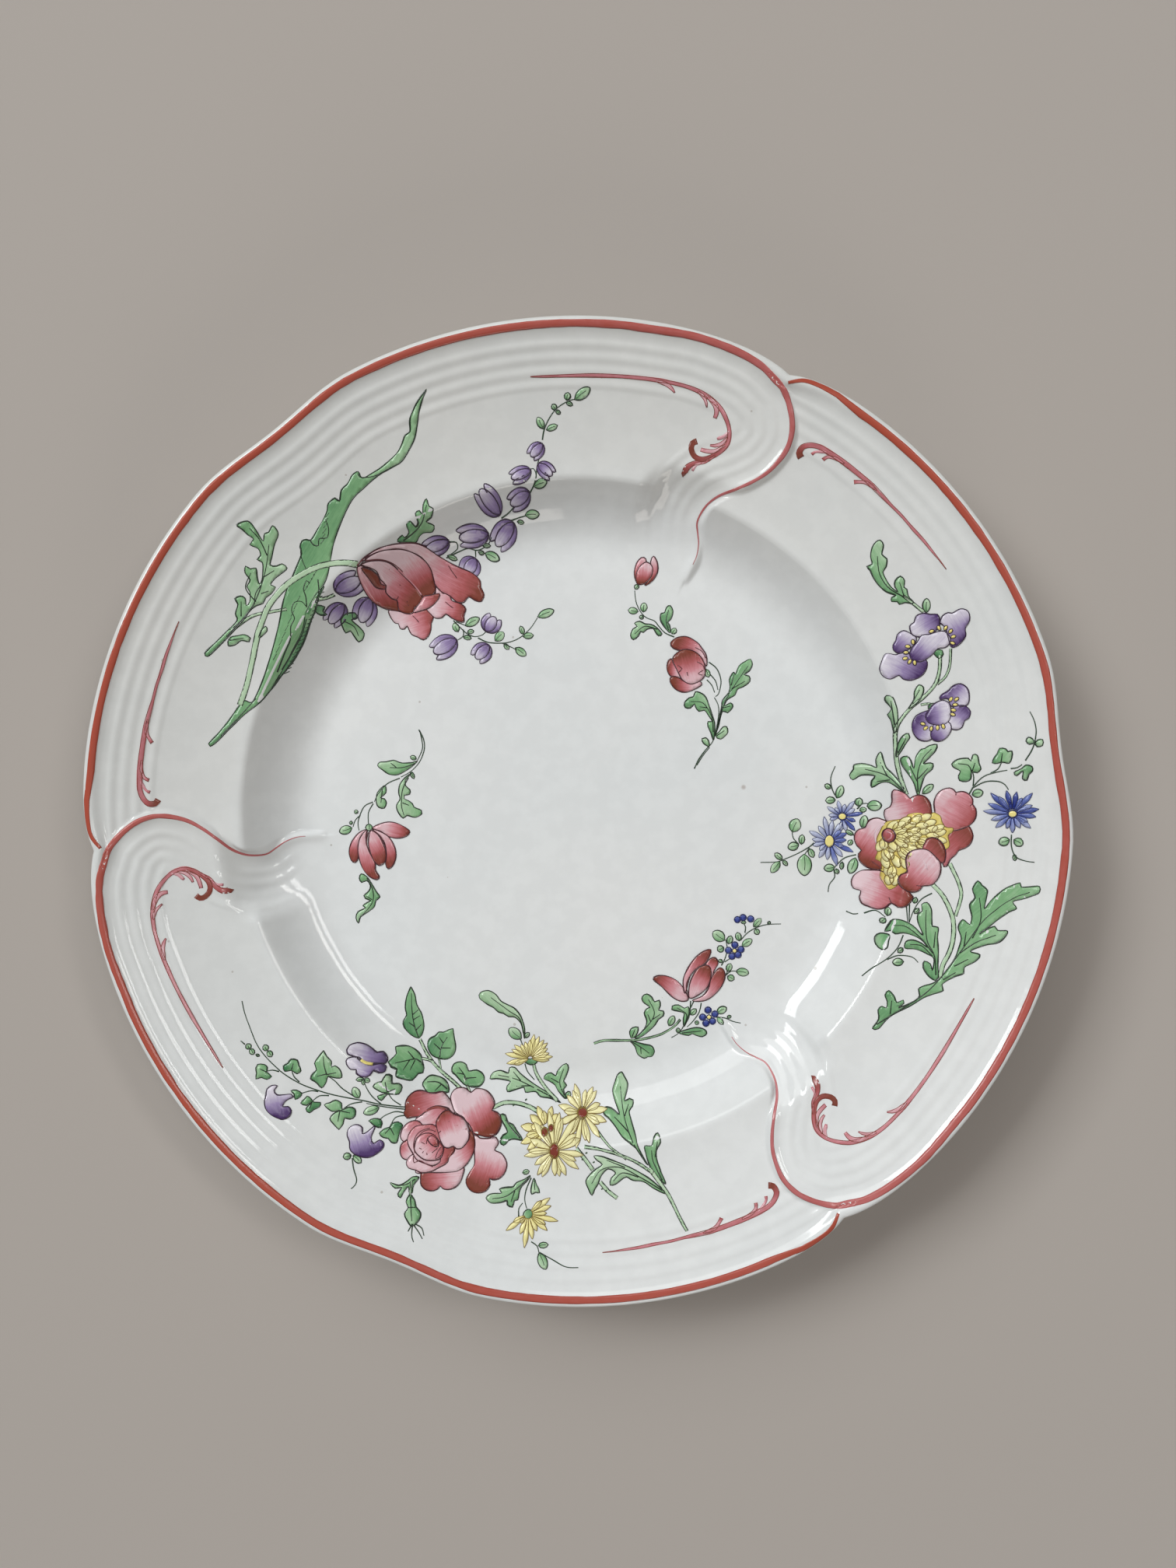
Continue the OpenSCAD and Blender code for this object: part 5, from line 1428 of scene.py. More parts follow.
leaf(p, [
    (-116, -96.6), (-114.2, -98.3), (-116, -99.4), (-118, -98.6), (-120, -99.1), (-119.8, -97),
    (-120.1, -95), (-119.4, -93.7), (-117, -93.8), (-115.8, -95)
], [[(-116.2, -96.6), (-118.6, -95.4)]], 0.4)
leaflets(p, [
    (-116, -88.8, -117.2, -86.6, 2.2), (-115.8, -88.8, -114.4, -91, 2.2),
    (-122.4, -88, -123.4, -86, 2.2), (-122.2, -87.8, -121, -90, 2),
    (-120.2, -90, -118.8, -90.6, 0.9), (-81.8, -107.2, -84, -103.2, 3),
    (-74.2, -110.8, -80, -112.8, 3.2), (-80, -100, -83, -100.4, 1.6),
    (-80, -100.2, -77.8, -101, 1.8), (-80.4, -99.8, -80.2, -102.4, 1.4),
    (-84.2, -128, -87.2, -128.6, 2.6), (-83.4, -128, -80.4, -130.8, 2.4),
    (-22, -90, -26.8, -86, 4.2), (-20.6, -89.6, -18.8, -87.6, 1.8),
    (-13.6, -161.4, -9.8, -161, 2.2), (-13.2, -164, -10.6, -170, 3.4),
    (-19.8, -135.2, -17.2, -134.6, 1.8), (-4, -112.2, -2.4, -110.2, 2)
])
leaf(p, [
    (-73.6, -115.2), (-76, -114.8), (-78, -115.6), (-77, -116.4), (-75.6, -117.6), (-73.4, -118.2),
    (-73, -116.8)
], tint=0.6)
leaf(p, [
    (-103, -104.8), (-105, -103.6), (-107, -103.8), (-105.8, -105), (-105.4, -107), (-103.6, -106.2)
], tint=0.45)
leaf(p, [
    (-58.6, -136.2), (-61, -136), (-63, -137.5), (-66, -139), (-69.4, -138), (-67.4, -140),
    (-65, -139.8), (-66.4, -142), (-65.4, -143.5), (-64.3, -141.5), (-62.5, -139.4),
    (-62.2, -141.4), (-61, -141.8), (-60.6, -139)
], [[(-60, -136.8), (-63.6, -138.8), (-67, -139)]])
leaf(p, [
    (-61.8, -142.3), (-63.3, -145), (-62.4, -147), (-63.8, -149.4), (-62.6, -152), (-60.8, -153.8),
    (-58.3, -151.6), (-57.7, -149), (-59.5, -146.8), (-60, -144.4)
], [[(-61.6, -143), (-61.4, -147), (-61, -152)], [(-62.4, -147), (-59.6, -147)]], 0.3)
stem(p, [(-61.4, -137.4), (-61.8, -142.4)], 0.5)
leaf(p, [
    (-20.7, -90), (-21.3, -86.5), (-22.2, -83.6), (-24.5, -81.4), (-27, -81.2), (-29, -79.9),
    (-31, -79.4), (-33, -77.6), (-35.6, -76.2), (-38.6, -73.8), (-38.2, -71.6), (-35, -70.8),
    (-32, -72.4), (-30, -75), (-27, -76.6), (-25, -77.6), (-23, -79.6), (-21.7, -82), (-20.6, -86)
], [[(-21, -88), (-22.6, -82), (-27, -78.8), (-34, -73.6)]])
leaf(p, [
    (-6, -113.6), (-10, -112.2), (-14, -111.6), (-16, -110), (-20, -110.1), (-20.6, -108.5),
    (-24, -109.1), (-27, -109.6), (-27.3, -107.8), (-26, -106.4), (-28.4, -105.7), (-31.5, -105.2),
    (-34.1, -105.1), (-33, -103), (-30, -102.4), (-27, -103.4), (-26.6, -101.5), (-24.5, -101.4),
    (-22.5, -103.4), (-19, -106), (-15, -108.4), (-11, -110.5)
], [
    [(-8, -112.6), (-16, -109), (-24, -105.6), (-31, -104)], [(-18, -108), (-23.6, -108)],
    [(-22, -106.2), (-25, -103)]
])
leaf(p, [
    (-4, -112.4), (-7, -110), (-8.5, -107.8), (-10.5, -106.6), (-12.9, -105.6), (-12, -104),
    (-10, -103.5), (-8.2, -104.6), (-7.6, -103), (-6, -101), (-4, -99.9), (-3.1, -101.5),
    (-4, -104.5), (-5, -106.5), (-3.8, -108), (-5, -109.4)
], [[(-4.6, -111.4), (-6.6, -107), (-5, -102)], [(-7, -107), (-11, -105)]])
stem(p, [(-32, -114), (-28, -112.9), (-23, -113.3), (-18, -114.6), (-15, -116)], 1.0)
leaf(p, [
    (-20, -123.5), (-22.4, -121), (-24, -119.2), (-26, -118.5), (-27.2, -116.5), (-29.1, -116.2),
    (-28.6, -117.6), (-27.2, -119.2), (-25.8, -121.2), (-27.4, -121.9), (-28.4, -123.8),
    (-27, -125.1), (-25, -123.4), (-23, -123.2)
], [[(-21, -123), (-24, -120.6), (-27, -117.8)]], 0.5)
leaf(p, [
    (27.6, -132), (24, -127), (21.5, -124.6), (18, -122.6), (15.4, -120), (13, -118),
    (10.9, -116.6), (11.4, -114.8), (14, -115), (17, -116.6), (15.4, -113), (14.4, -109.5),
    (15.4, -106.4), (16.4, -104), (18, -102.9), (19, -104.4), (20.4, -107), (19.8, -110),
    (19, -112.6), (21, -111.8), (22.4, -112.2), (22.1, -114), (20.8, -115.5), (21.5, -118),
    (23, -122), (24.2, -126)
], [
    [(27, -131.4), (22, -124), (18.8, -117), (17.4, -108)], [(20.6, -121.4), (15, -117.4)],
    [(19, -117), (20.6, -113.4)]
])
leaf(p, [
    (34.2, -138.6), (30, -135), (28, -131.5), (26.8, -127.6), (26.4, -125), (29, -124.8),
    (29.9, -122), (31.5, -120.7), (32.4, -123.5), (30.8, -126.5), (31, -130), (32.4, -134)
], [[(33, -137.4), (29.6, -130.6), (29, -126.6)], [(30.4, -129), (31.2, -123.4)]], 0.3)
leaf(p, [
    (34.4, -142), (30, -140.4), (26, -138), (22, -137.6), (19.5, -136.4), (17.5, -137.5),
    (15.5, -139), (13.4, -139.4), (13.7, -137), (15.4, -135), (12.6, -133.6), (10, -136),
    (8.8, -139), (7.5, -141), (6.5, -143.1), (5, -140.5), (4.2, -138), (6, -135.4), (8, -133.7),
    (10.4, -132), (8.4, -130.5), (7.2, -128.9), (10, -129), (13, -130), (17, -131.4), (21, -133),
    (25, -135), (29, -137.4)
], [
    [(33, -141), (25, -136.6), (17, -133), (10, -134), (6.4, -139)],
    [(24, -136.4), (18, -135), (14.6, -138)], [(19, -133), (12, -130.4)]
])
stem(p, [(42.2, -155.4), (39, -149.6), (35.6, -143), (32.4, -138.6), (28, -133)], 0.8, 1.4)
stem(p, [(29.6, -135), (24, -131.4), (17.5, -128.6), (10, -126.6), (3.6, -125.8)], 0.8)
stem(p, [(8.6, -121.6), (13, -125.4), (19.5, -130)], 0.6)
stem(p, [(0.6, -126.4), (3.6, -129.8), (6.8, -134)], 1.3)
stem(p, [(9.6, -138.4), (12.4, -141.4), (16, -144)], 1.2)
stem(p, [(-17, -100), (-16, -103.5), (-12.5, -108.4), (-7.4, -113)], 1.0)
for x, y in (
    (4, -128), (5.4, -132.4), (6.8, -131.4), (10, -141), (11.4, -141.6), (2.6, -130.4),
    (-20, -112.6), (-24.6, -114)
):
    p.stroke([(x, y), (x + 0.7, y + 0.4)], 0.5, ink=0.85)
leaf(p, [
    (-16.8, -136.2), (-19, -137.5), (-22, -138.7), (-23.3, -140.2), (-26, -140.4), (-28.4, -141),
    (-27.5, -142.4), (-30, -142.5), (-32, -142.8), (-33.4, -144.1), (-31.5, -145.9), (-28, -145.8),
    (-25.5, -145.1), (-25.3, -146.6), (-23.5, -147.4), (-22.7, -145.1), (-21.4, -144.8),
    (-20.9, -142), (-20, -140), (-18, -138)
], [
    [(-17.4, -137), (-21.6, -140.6), (-26, -143.6), (-31, -144.4)], [(-22.6, -141.6), (-24, -145.6)]
])
leaf(p, [
    (-15.5, -137.2), (-16.5, -141), (-16.2, -142.8), (-14.8, -142.2), (-13.3, -142.4),
    (-13.5, -141), (-14.5, -139.3)
], [[(-15.4, -138), (-15, -141.4)]])
leaf(p, [
    (-18.4, -100.4), (-20.4, -99.4), (-20.9, -97.6), (-18.4, -98.2), (-15.4, -97.2), (-15.8, -99.6),
    (-17, -100.4)
], tint=0.5)
leaf(p, [
    (-17.6, -148.2), (-19.1, -149.4), (-19.2, -151.4), (-17.2, -151.8), (-15.6, -150.4),
    (-16, -148.8)
], tint=0.45)
p.done()

p = Paint("rose_daisies", "yellow_enamel", "rose_daisies")
p.level = BLOOM_LEVEL
rays(p, (-18.4, -98), 1.0, [
    (-27.6, -99.8), (-24.8, -100.2), (-28.2, -96), (-25.6, -94.4), (-24.6, -92.6), (-22, -92.4),
    (-20.4, -91.4), (-18.4, -90.6), (-16.8, -88.4), (-14.8, -89.2), (-13, -90.6), (-11.6, -91.8),
    (-11.6, -94), (-11, -95.8), (-9.6, -97.2), (-11, -98.6)
], 1.9, 0.15, 0.2)
rays(p, (-17.4, -150), 1.6, [
    (-23, -152.8), (-25.6, -155.8), (-20.4, -157), (-18.8, -162), (-15.8, -158.8), (-14.2, -156),
    (-10.4, -155.8), (-11, -153.6), (-6.4, -152.4), (-10.6, -149.6), (-9, -147), (-9.4, -144.2),
    (-12.4, -145.2), (-20.4, -153)
], 1.9, 0.15, 0.25)
rays(p, (-11, -121.4), 2.0, [
    (-20.8, -119.8), (-18.6, -122.4), (-20.4, -124.4), (-17.6, -117), (-15, -114.6), (-12.6, -116),
    (-9.4, -114.8), (-7.2, -117), (-6, -119.6), (-18, -126.6), (-17, -120)
], 2.2, 0.15, 0.2)
rays(p, (2.6, -116.6), 1.9, list(fan((2.6, -116.6), 8, 352, 19, 8.4)), 2.0, -0.1, 0.2)
rays(p, (-7.8, -127), 1.9, list(fan((-7.8, -127), -78, 268, 20, 10.2)), 2.2, -0.1, 0.2)
dot(p, -11.8, -121.8, 1.2, second=1.0)
dot(p, -9.4, -120.8, 1.0, second=1.0)
dot(p, 2.6, -116.6, 1.9, second=1.0, tall=0.8)
dot(p, -7.8, -127.4, 1.75, second=1.0, tall=1.5)
p.done()

p = Paint("rose_bindweed", "violet_enamel", "rose_bindweed")
p.level = BLOOM_LEVEL
petal(p, [
    (-106, -106), (-107, -105), (-112, -105.2), (-113.2, -103.4), (-112, -101.8), (-114, -101.6),
    (-115.9, -103), (-116.2, -105), (-116.7, -107.6), (-116, -110.6), (-114, -112.6),
    (-111.5, -113.8), (-109.5, -114.3), (-107.3, -113), (-106.7, -111), (-108, -109.5),
    (-110, -109.6), (-108.8, -107.4)
], (-110, -113), (-112, -103.4), 0.15, 0.95)
petal(p, [
    (-75.6, -117.6), (-78.5, -119.6), (-80.2, -120.2), (-80.3, -118), (-82, -116.9), (-84, -117.1),
    (-85.6, -118.6), (-85.8, -120.8), (-84.9, -123), (-84.6, -126), (-82, -128.1), (-78, -128.9),
    (-75, -127.8), (-72.5, -125.8), (-72.1, -123.8), (-73.7, -122.6), (-76, -123.8), (-76.9, -121.6)
], (-78, -127.6), (-81.4, -118), 0.15, 0.95)
petal(p, [
    (-73.2, -96), (-77.5, -95.4), (-81, -94.4), (-84, -92.2), (-86.4, -91), (-87, -89.4),
    (-86.4, -88.3), (-84, -87.9), (-81, -89), (-78.5, -90.8), (-76.8, -92.2), (-74.8, -92.3),
    (-73, -94.4)
], (-74, -94), (-86, -89.4), 0.15, 0.75)
petal(p, [
    (-82.8, -92.6), (-86.4, -92.4), (-86.6, -94.4), (-85, -96.4), (-83, -96.5), (-82.8, -98),
    (-80.5, -99.3), (-78, -98.9), (-77, -97.6), (-75, -98.6), (-73, -98.6), (-72.7, -97.2),
    (-75, -95.9), (-79, -95.6)
], (-74, -98), (-85.4, -94), 0.12, 0.85)
p.stroke([(-81.8, -93.6), (-80, -94.8), (-77.6, -95.6)], 0.8, second=1.0, lift=0.14)
p.done()

p = Paint("rose_bloom", "crimson_enamel", "rose_bloom")
p.level = BLOOM_LEVEL
petal(p, [
    (-64.9, -113), (-64.3, -111.6), (-64.4, -109.4), (-63.6, -107.4), (-61.6, -106.2),
    (-59, -106.3), (-56.4, -107.3), (-54, -107.7), (-51.6, -107.6), (-49.4, -109.4),
    (-47.6, -111.4), (-46, -114), (-48.6, -114.4), (-53, -113.6), (-57, -114.4), (-60.4, -114.4),
    (-62, -114.6), (-63.6, -114.9)
], (-65, -113), (-48, -110.5), tint=0.12, range_=1.0)
petal(p, [
    (-45.6, -114.4), (-47.4, -112), (-48.4, -109.4), (-47.4, -107.6), (-45.4, -107.1),
    (-43, -107.6), (-41, -109), (-39.4, -108), (-37, -108.2), (-34.6, -109.2), (-32.4, -111.4),
    (-31.6, -113.4), (-32.4, -114.8), (-30.2, -115.6), (-28.8, -117.2), (-28.5, -119.2),
    (-30, -121.4), (-32.8, -122.1), (-36, -121.5), (-38.8, -120.6), (-41, -118.5), (-42.6, -116)
], (-33, -122), (-40.5, -109), tint=-0.02, range_=1.3)
petal(p, [
    (-38.2, -121.4), (-36, -122.4), (-33, -122.6), (-30, -122.4), (-29, -124.4), (-30.4, -126.8),
    (-28, -128), (-26.4, -130), (-25.7, -132.6), (-26.8, -135.6), (-28.8, -137.3), (-31, -137.6),
    (-32.2, -137.2), (-32, -139.4), (-33.4, -141.5), (-36, -142.3), (-38.8, -141.6),
    (-40.6, -139.6), (-41, -137.4), (-39.6, -134.6), (-38, -132), (-38, -128)
], (-38, -141), (-32.5, -124), tint=-0.04, range_=1.25)
petal(p, [
    (-57.4, -133.6), (-58, -137), (-57.6, -139.2), (-55.6, -140.8), (-53, -141.1), (-51.2, -140.2),
    (-50.6, -139.4), (-49.6, -140.4), (-47.6, -140.8), (-45, -140), (-43.2, -138.2), (-42.3, -136),
    (-42, -133), (-46, -133.4), (-52, -133.4)
], (-57, -137.5), (-44, -136.5), tint=0.16, range_=0.75)
petal(p, [
    (-60.5, -115.6), (-58, -113.6), (-56, -112.1), (-53.4, -111.5), (-50.8, -112), (-48, -113.4),
    (-49, -117), (-53, -119), (-57, -118)
], (-50, -112), (-58, -116), tint=0.14, range_=0.45)
petal(p, [
    (-60, -134), (-54, -134.6), (-48, -134.7), (-44, -134.2), (-41.2, -132.2), (-39, -129),
    (-38, -126), (-38, -123), (-39, -120), (-41.6, -117.2), (-46, -116), (-50, -118), (-52, -126)
], (-36.5, -125), (-47, -131), tint=-0.02, range_=1.1)
petal(p, [
    (-58.6, -116.4), (-61, -115.8), (-63.6, -116.8), (-65.4, -119), (-66, -121.6), (-65, -123.2),
    (-63.4, -123.6), (-60, -124), (-57, -120)
], (-60.5, -117), (-64.6, -121.4), tint=0.08, range_=0.45)
petal(p, [
    (-62, -122.6), (-64.2, -123.2), (-65.7, -124.6), (-65.9, -127.2), (-65, -129.2), (-63, -129.9),
    (-60, -129)
], (-66, -125.5), (-62, -128.6), tint=0.1, range_=0.5)
petal(p, [
    (-61, -128), (-62.4, -128.8), (-63.5, -130.8), (-62.6, -132.8), (-60, -133.6), (-57.5, -134.6),
    (-54, -134.2), (-51.4, -133), (-49, -131.9), (-48, -131), (-47.4, -129), (-45.8, -127.6),
    (-45.7, -124.4), (-50, -123)
], (-45.5, -126.4), (-57, -130), tint=0.16, range_=0.85)
petal(p, [
    (-61.2, -127.6), (-62.8, -125), (-63.3, -122), (-61.6, -118.8), (-59.4, -117.6),
    (-56.4, -117.3), (-54, -117.2), (-51.4, -119), (-50.2, -122), (-49.6, -126.4), (-50.6, -129.2),
    (-51, -131), (-53.6, -132.2), (-56.4, -131.4), (-59.6, -130)
], (-52, -118), (-59, -128), tint=0.18, range_=0.5)
petal(p, [
    (-60.6, -124.8), (-59.8, -122.2), (-57.8, -120.8), (-55.4, -120.4), (-53, -121.3),
    (-51.4, -123.4), (-49.8, -125.6), (-49.8, -127.4), (-51, -129.8), (-54, -130.4), (-57, -129.9),
    (-59.6, -128), (-60.6, -126.4)
], (-52, -123), (-58.5, -128), tint=0.14, range_=0.55)
petal(p, [
    (-55.8, -122.6), (-54.6, -121.4), (-53, -122), (-51.6, -123.6), (-51.8, -125.4),
    (-53.4, -125.2), (-54.8, -124.2)
], (-52, -124), (-55, -123), tint=0.45, range_=0.4)
petal(p, [
    (-52.6, -117.4), (-52.3, -115.4), (-50.6, -113.6), (-48.6, -113.2), (-46.4, -114.6),
    (-43.6, -115.6), (-41.4, -117.6), (-40.2, -120), (-40.2, -122.6), (-41.6, -124.8),
    (-43, -126.1), (-44.8, -126.3), (-46, -125.3), (-47.6, -125.9), (-49.4, -125.6),
    (-50.8, -123.4), (-51.7, -120.6)
], (-50.5, -113.5), (-45.5, -124.4), tint=-0.12, range_=1.15)
creases(p, (
    [(-60.4, -127.6), (-61, -124.6), (-60.2, -121.4), (-58, -119.4), (-55, -118.6)],
    [(-59.4, -121.8), (-57.6, -119.9), (-55, -119.2), (-52.8, -119.9)],
    [(-61, -128.6), (-60.6, -131), (-58.6, -130.2), (-56, -131.6), (-53.6, -132.6)],
    [(-50.6, -128.6), (-52.6, -129.8), (-51.9, -127.2), (-50.6, -125.6)],
    [(-56.2, -124.4), (-55.8, -122.2), (-54.2, -121.2)], [(-54, -127.6), (-52, -126)],
    [(-58.2, -123.6), (-56.8, -124.4)], [(-58.8, -125.8), (-58, -126.2)],
    [(-57.6, -127.6), (-57.2, -127)], [(-55.8, -128.4), (-56, -127.6)],
    [(-52.4, -122.6), (-51.8, -124.6), (-53.2, -124.6)], [(-51.6, -120.4), (-50.8, -119.6)]
), 0.8, 0.1)
for line in (
    [(-46, -126.6), (-47.2, -128.6), (-48.4, -129.8)],
    [(-57, -112.6), (-53.4, -111.9), (-49.6, -112.8)], [(-62.4, -119.6), (-60.6, -118.2)],
    [(-52, -124.6), (-53.6, -125.2)]
):
    p.stroke(line, (0.3,) + (0.7,) * (len(line) - 2) + (0.3,), tint=0.85, lift=0.1)
p.done()

# ---------------------------------------------------------------- three sprigs in the well

p = Paint("left_sprig_leaves", "green_enamel", "left_sprig_leaves")
twig(p,
    [(-62.4, 33), (-60.6, 29.5), (-60.2, 25.5), (-62, 20.5), (-65.5, 16.6), (-69.6, 14.2)],
    [(-62, 32.6), (-61.2, 29), (-61, 25.4), (-63, 20.8)],
    [(-70, 13.8), (-75, 11.6), (-78.6, 7.6), (-80.2, 4.4)],
    [(-80.8, 4.3), (-84, 2.8), (-85.8, -0.4), (-86.8, -4), (-86.4, -7)],
    [(-80.7, 3.7), (-82.6, 0), (-82.6, -4.6)], [(-85.8, -1), (-87.8, -2.8), (-88.8, -5.6)])
leaf(p, [
    (-63, 20.6), (-65, 20), (-69, 19.8), (-71, 20.4), (-72.5, 20.9), (-75.5, 20.3), (-78, 20.1),
    (-78.8, 18.6), (-76.5, 16.8), (-74.4, 15.4), (-72, 15), (-69.5, 15.7), (-66, 17.8)
], [[(-64, 19.6), (-69, 18), (-74, 18)], [(-71.4, 18), (-73.6, 19.8)]])
leaf(p, [
    (-65.4, 15.6), (-67.6, 14.3), (-70, 11.4), (-70.5, 8), (-70, 5.5), (-71.4, 3), (-70.8, 0.4),
    (-68.8, -2.1), (-67.2, -1), (-64, -1.8), (-61.3, -0.4), (-61.5, 1), (-64.4, 2.3), (-65, 3.6),
    (-66.5, 4.8), (-68.4, 5.7), (-68.2, 7), (-66.2, 7.4), (-66, 9.2), (-67.6, 10.6), (-67.8, 13)
], [[(-66.6, 14), (-69, 9), (-69.4, 3), (-68.4, -1)], [(-69, 4), (-66.4, 3)]])
leaf(p, [
    (-76, 10.8), (-79, 8), (-79.4, 4), (-78.4, 2.2), (-76.3, 1.9), (-75.4, 4), (-76.2, 5.6),
    (-77.8, 6), (-75.6, 8)
], [[(-77, 9.4), (-77.6, 4)]])
leaf(p, [
    (-85.6, -24.3), (-83.4, -25.4), (-81.4, -28.4), (-79.6, -31.4), (-78.2, -33.5), (-79.8, -35),
    (-80.5, -37.5), (-83, -39.5), (-86, -41.5), (-86.8, -44), (-87.8, -42), (-87, -39.5),
    (-84, -37.9), (-85, -37), (-83.4, -35.8), (-81.9, -35), (-84, -34.1), (-84.6, -33),
    (-82.5, -31), (-82, -29), (-83.4, -27), (-85.5, -27.7), (-86.4, -26)
], [[(-83.4, -26), (-81, -31), (-81.4, -36), (-86, -41.6)], [(-81.4, -34.6), (-83.6, -33.2)]])
leaflets(p, [
    (-89.2, -6, -94.2, -7.6, 3.4), (-82.4, -4.4, -82.4, -7.2, 2.8), (-86.8, 0, -88.2, 0.8, 1.6),
    (-88.9, -4, -90.2, -4, 1.4), (-65.6, 16.4, -64.4, 13.6, 1.4), (-63.4, 21.4, -65.8, 22.4, 1.8)
])
p.done()

p = Paint("left_sprig_bloom", "crimson_enamel", "left_sprig_bloom")
p.level = BLOOM_LEVEL
petals(p, [
    ([(-81, -6), (-77.5, -4.2), (-74, -3.6), (-70.5, -4.4), (-67, -6.4), (-66.1, -7.6),
      (-67.5, -9.3), (-71, -10.1), (-74.5, -9.4), (-77.5, -7.5)], (-67, -8), (-76, -6)),
    ([(-81, -6.5), (-78, -7.4), (-74.5, -9.6), (-72.2, -13.5), (-71.7, -17.5), (-73, -21),
      (-74.8, -22.3), (-75.8, -20.4), (-75.5, -16.5), (-76.2, -12), (-78.5, -9)], (-73, -19),
     (-76, -10)),
    ([(-83.5, -6.7), (-86.5, -8), (-89.3, -11.5), (-90.4, -15.5), (-89.5, -18.9), (-88, -19.8),
      (-86.8, -18), (-86.8, -13.5), (-85.6, -9.6)], (-88.6, -17), (-86, -10)),
    ([(-83.3, -6.8), (-86, -10), (-86.8, -15), (-86, -19.5), (-84.5, -23), (-82, -25.6),
      (-79.3, -26.6), (-78.4, -25.3), (-79.9, -22.8), (-80, -20), (-81.5, -17), (-83.3, -13),
      (-83.6, -9.5)], (-82, -24), (-84.6, -13)),
    ([(-81.6, -7), (-79, -8.5), (-76.8, -12), (-75.6, -16), (-76.2, -19.6), (-78.5, -20.9),
      (-80.5, -19), (-81.8, -16), (-82.6, -12.5), (-82.3, -9)], (-77.6, -17), (-81.4, -10))
], 0.22, 0.7, 0.4)
creases(p, (
    [(-80.4, -7), (-78, -9), (-76.6, -11.4)], [(-82.6, -7.6), (-83.4, -11.6), (-82.4, -15.6)]
), 0.85, 0.16)
p.done()

p = Paint("top_sprig_leaves", "green_enamel", "top_sprig_leaves")
twig(p,
    [(46.6, 17.6), (48.4, 21.4), (51, 25), (53.6, 28), (54.9, 32), (55.8, 36.4), (56.2, 40),
     (55.8, 43), (54.4, 45.6)],
    [(47.6, 19), (50, 22.8), (52.6, 26)],
    [(52.2, 59.5), (55.4, 56.8), (57, 52), (56, 47), (54.8, 46)],
    [(52.4, 55), (54.8, 52.2), (55.8, 48.6)], [(51.4, 52.6), (53.4, 50.4), (54.5, 47.6)],
    [(38.6, 69.4), (35, 71), (32.2, 74), (30.8, 75.7), (27.6, 77), (25.4, 79.2), (23.6, 83),
     (23, 87.6)])
leaf(p, [
    (54.8, 31), (56, 36), (57.3, 42), (57.6, 44.5), (60, 47.6), (60.5, 50), (60.2, 52.6),
    (61, 54.4), (62, 55.6), (62.6, 54.6), (64, 58), (66.5, 59.8), (68.5, 60.7), (69.3, 58.6),
    (68, 56), (66, 54.6), (68, 54), (68.3, 52), (66, 50), (63.4, 48.8), (62.5, 46.6), (59.5, 44.8),
    (58.4, 42.4), (60.8, 43.5), (61.7, 42), (59.6, 39.6), (57.6, 40.2), (56.2, 35)
], [
    [(55.6, 34), (58.6, 44), (63.4, 52), (67.6, 58)], [(61.2, 49), (66.4, 52)],
    [(61, 50.4), (62, 54.6)], [(57.8, 41.6), (60.6, 42.2)]
], 0.45)
leaf(p, [
    (54.2, 29), (54.6, 35), (53.5, 39), (52.5, 42), (51.2, 45.5), (49.5, 47.2), (47, 47.9),
    (46.2, 46), (44.5, 45.5), (42.7, 43.6), (43, 41.7), (45, 41.5), (46.6, 43.1), (47, 42),
    (48.3, 40.2), (50.5, 40.6), (51.8, 39), (53.6, 36.2), (52, 36.2), (51.9, 34.4), (53.2, 31.5)
], [[(54, 32), (53.4, 38), (50, 43.4), (45, 44)], [(51.6, 41.6), (48.6, 42)]], 0.45)
leaf(p, [
    (54.9, 30.8), (55.6, 29.6), (57, 29.2), (58.6, 30.4), (59.8, 32), (59.3, 34.1), (57.8, 34),
    (56.4, 32.2)
], [[(55.4, 30.6), (58.4, 32.6)]])
leaf(p, [(52.4, 26.4), (50.2, 27.6), (49.6, 29.4), (51, 29.8), (52.2, 28.6)], tint=0.3)
leaf(p, [
    (33.8, 70.6), (32.4, 69.9), (31.2, 71.4), (30.2, 72.8), (28, 72.5), (26.4, 71.2), (25.4, 71.6),
    (24.4, 69.8), (22.5, 68.4), (21.4, 70), (22.3, 72.5), (24, 73.6), (22.9, 74.8), (25, 75.6),
    (27, 74.6), (29.5, 74.3), (31.6, 73.2)
], [[(32, 72.4), (27, 73.6), (23, 70.6)]], 0.4)
leaf(p, [
    (37, 71), (35, 73), (33.2, 76), (33.4, 78.6), (34.8, 79), (35.5, 81), (37, 81.7), (38.1, 79.5),
    (37.3, 76.5), (36, 75.2), (36.8, 74)
], [[(36.4, 72), (35.4, 76), (36.4, 80)]], 0.4)
leaflets(p, [
    (37.6, 70.6, 39.2, 72.8, 2.2), (24.4, 79.4, 20.4, 80, 2.6), (26.4, 79.2, 26.8, 82.8, 2.8),
    (26.4, 77.6, 25, 76.8, 1.6), (51, 56.8, 52.2, 53.6, 2.2), (24.4, 90, 23.2, 88.2, 1.8)
])
p.done()

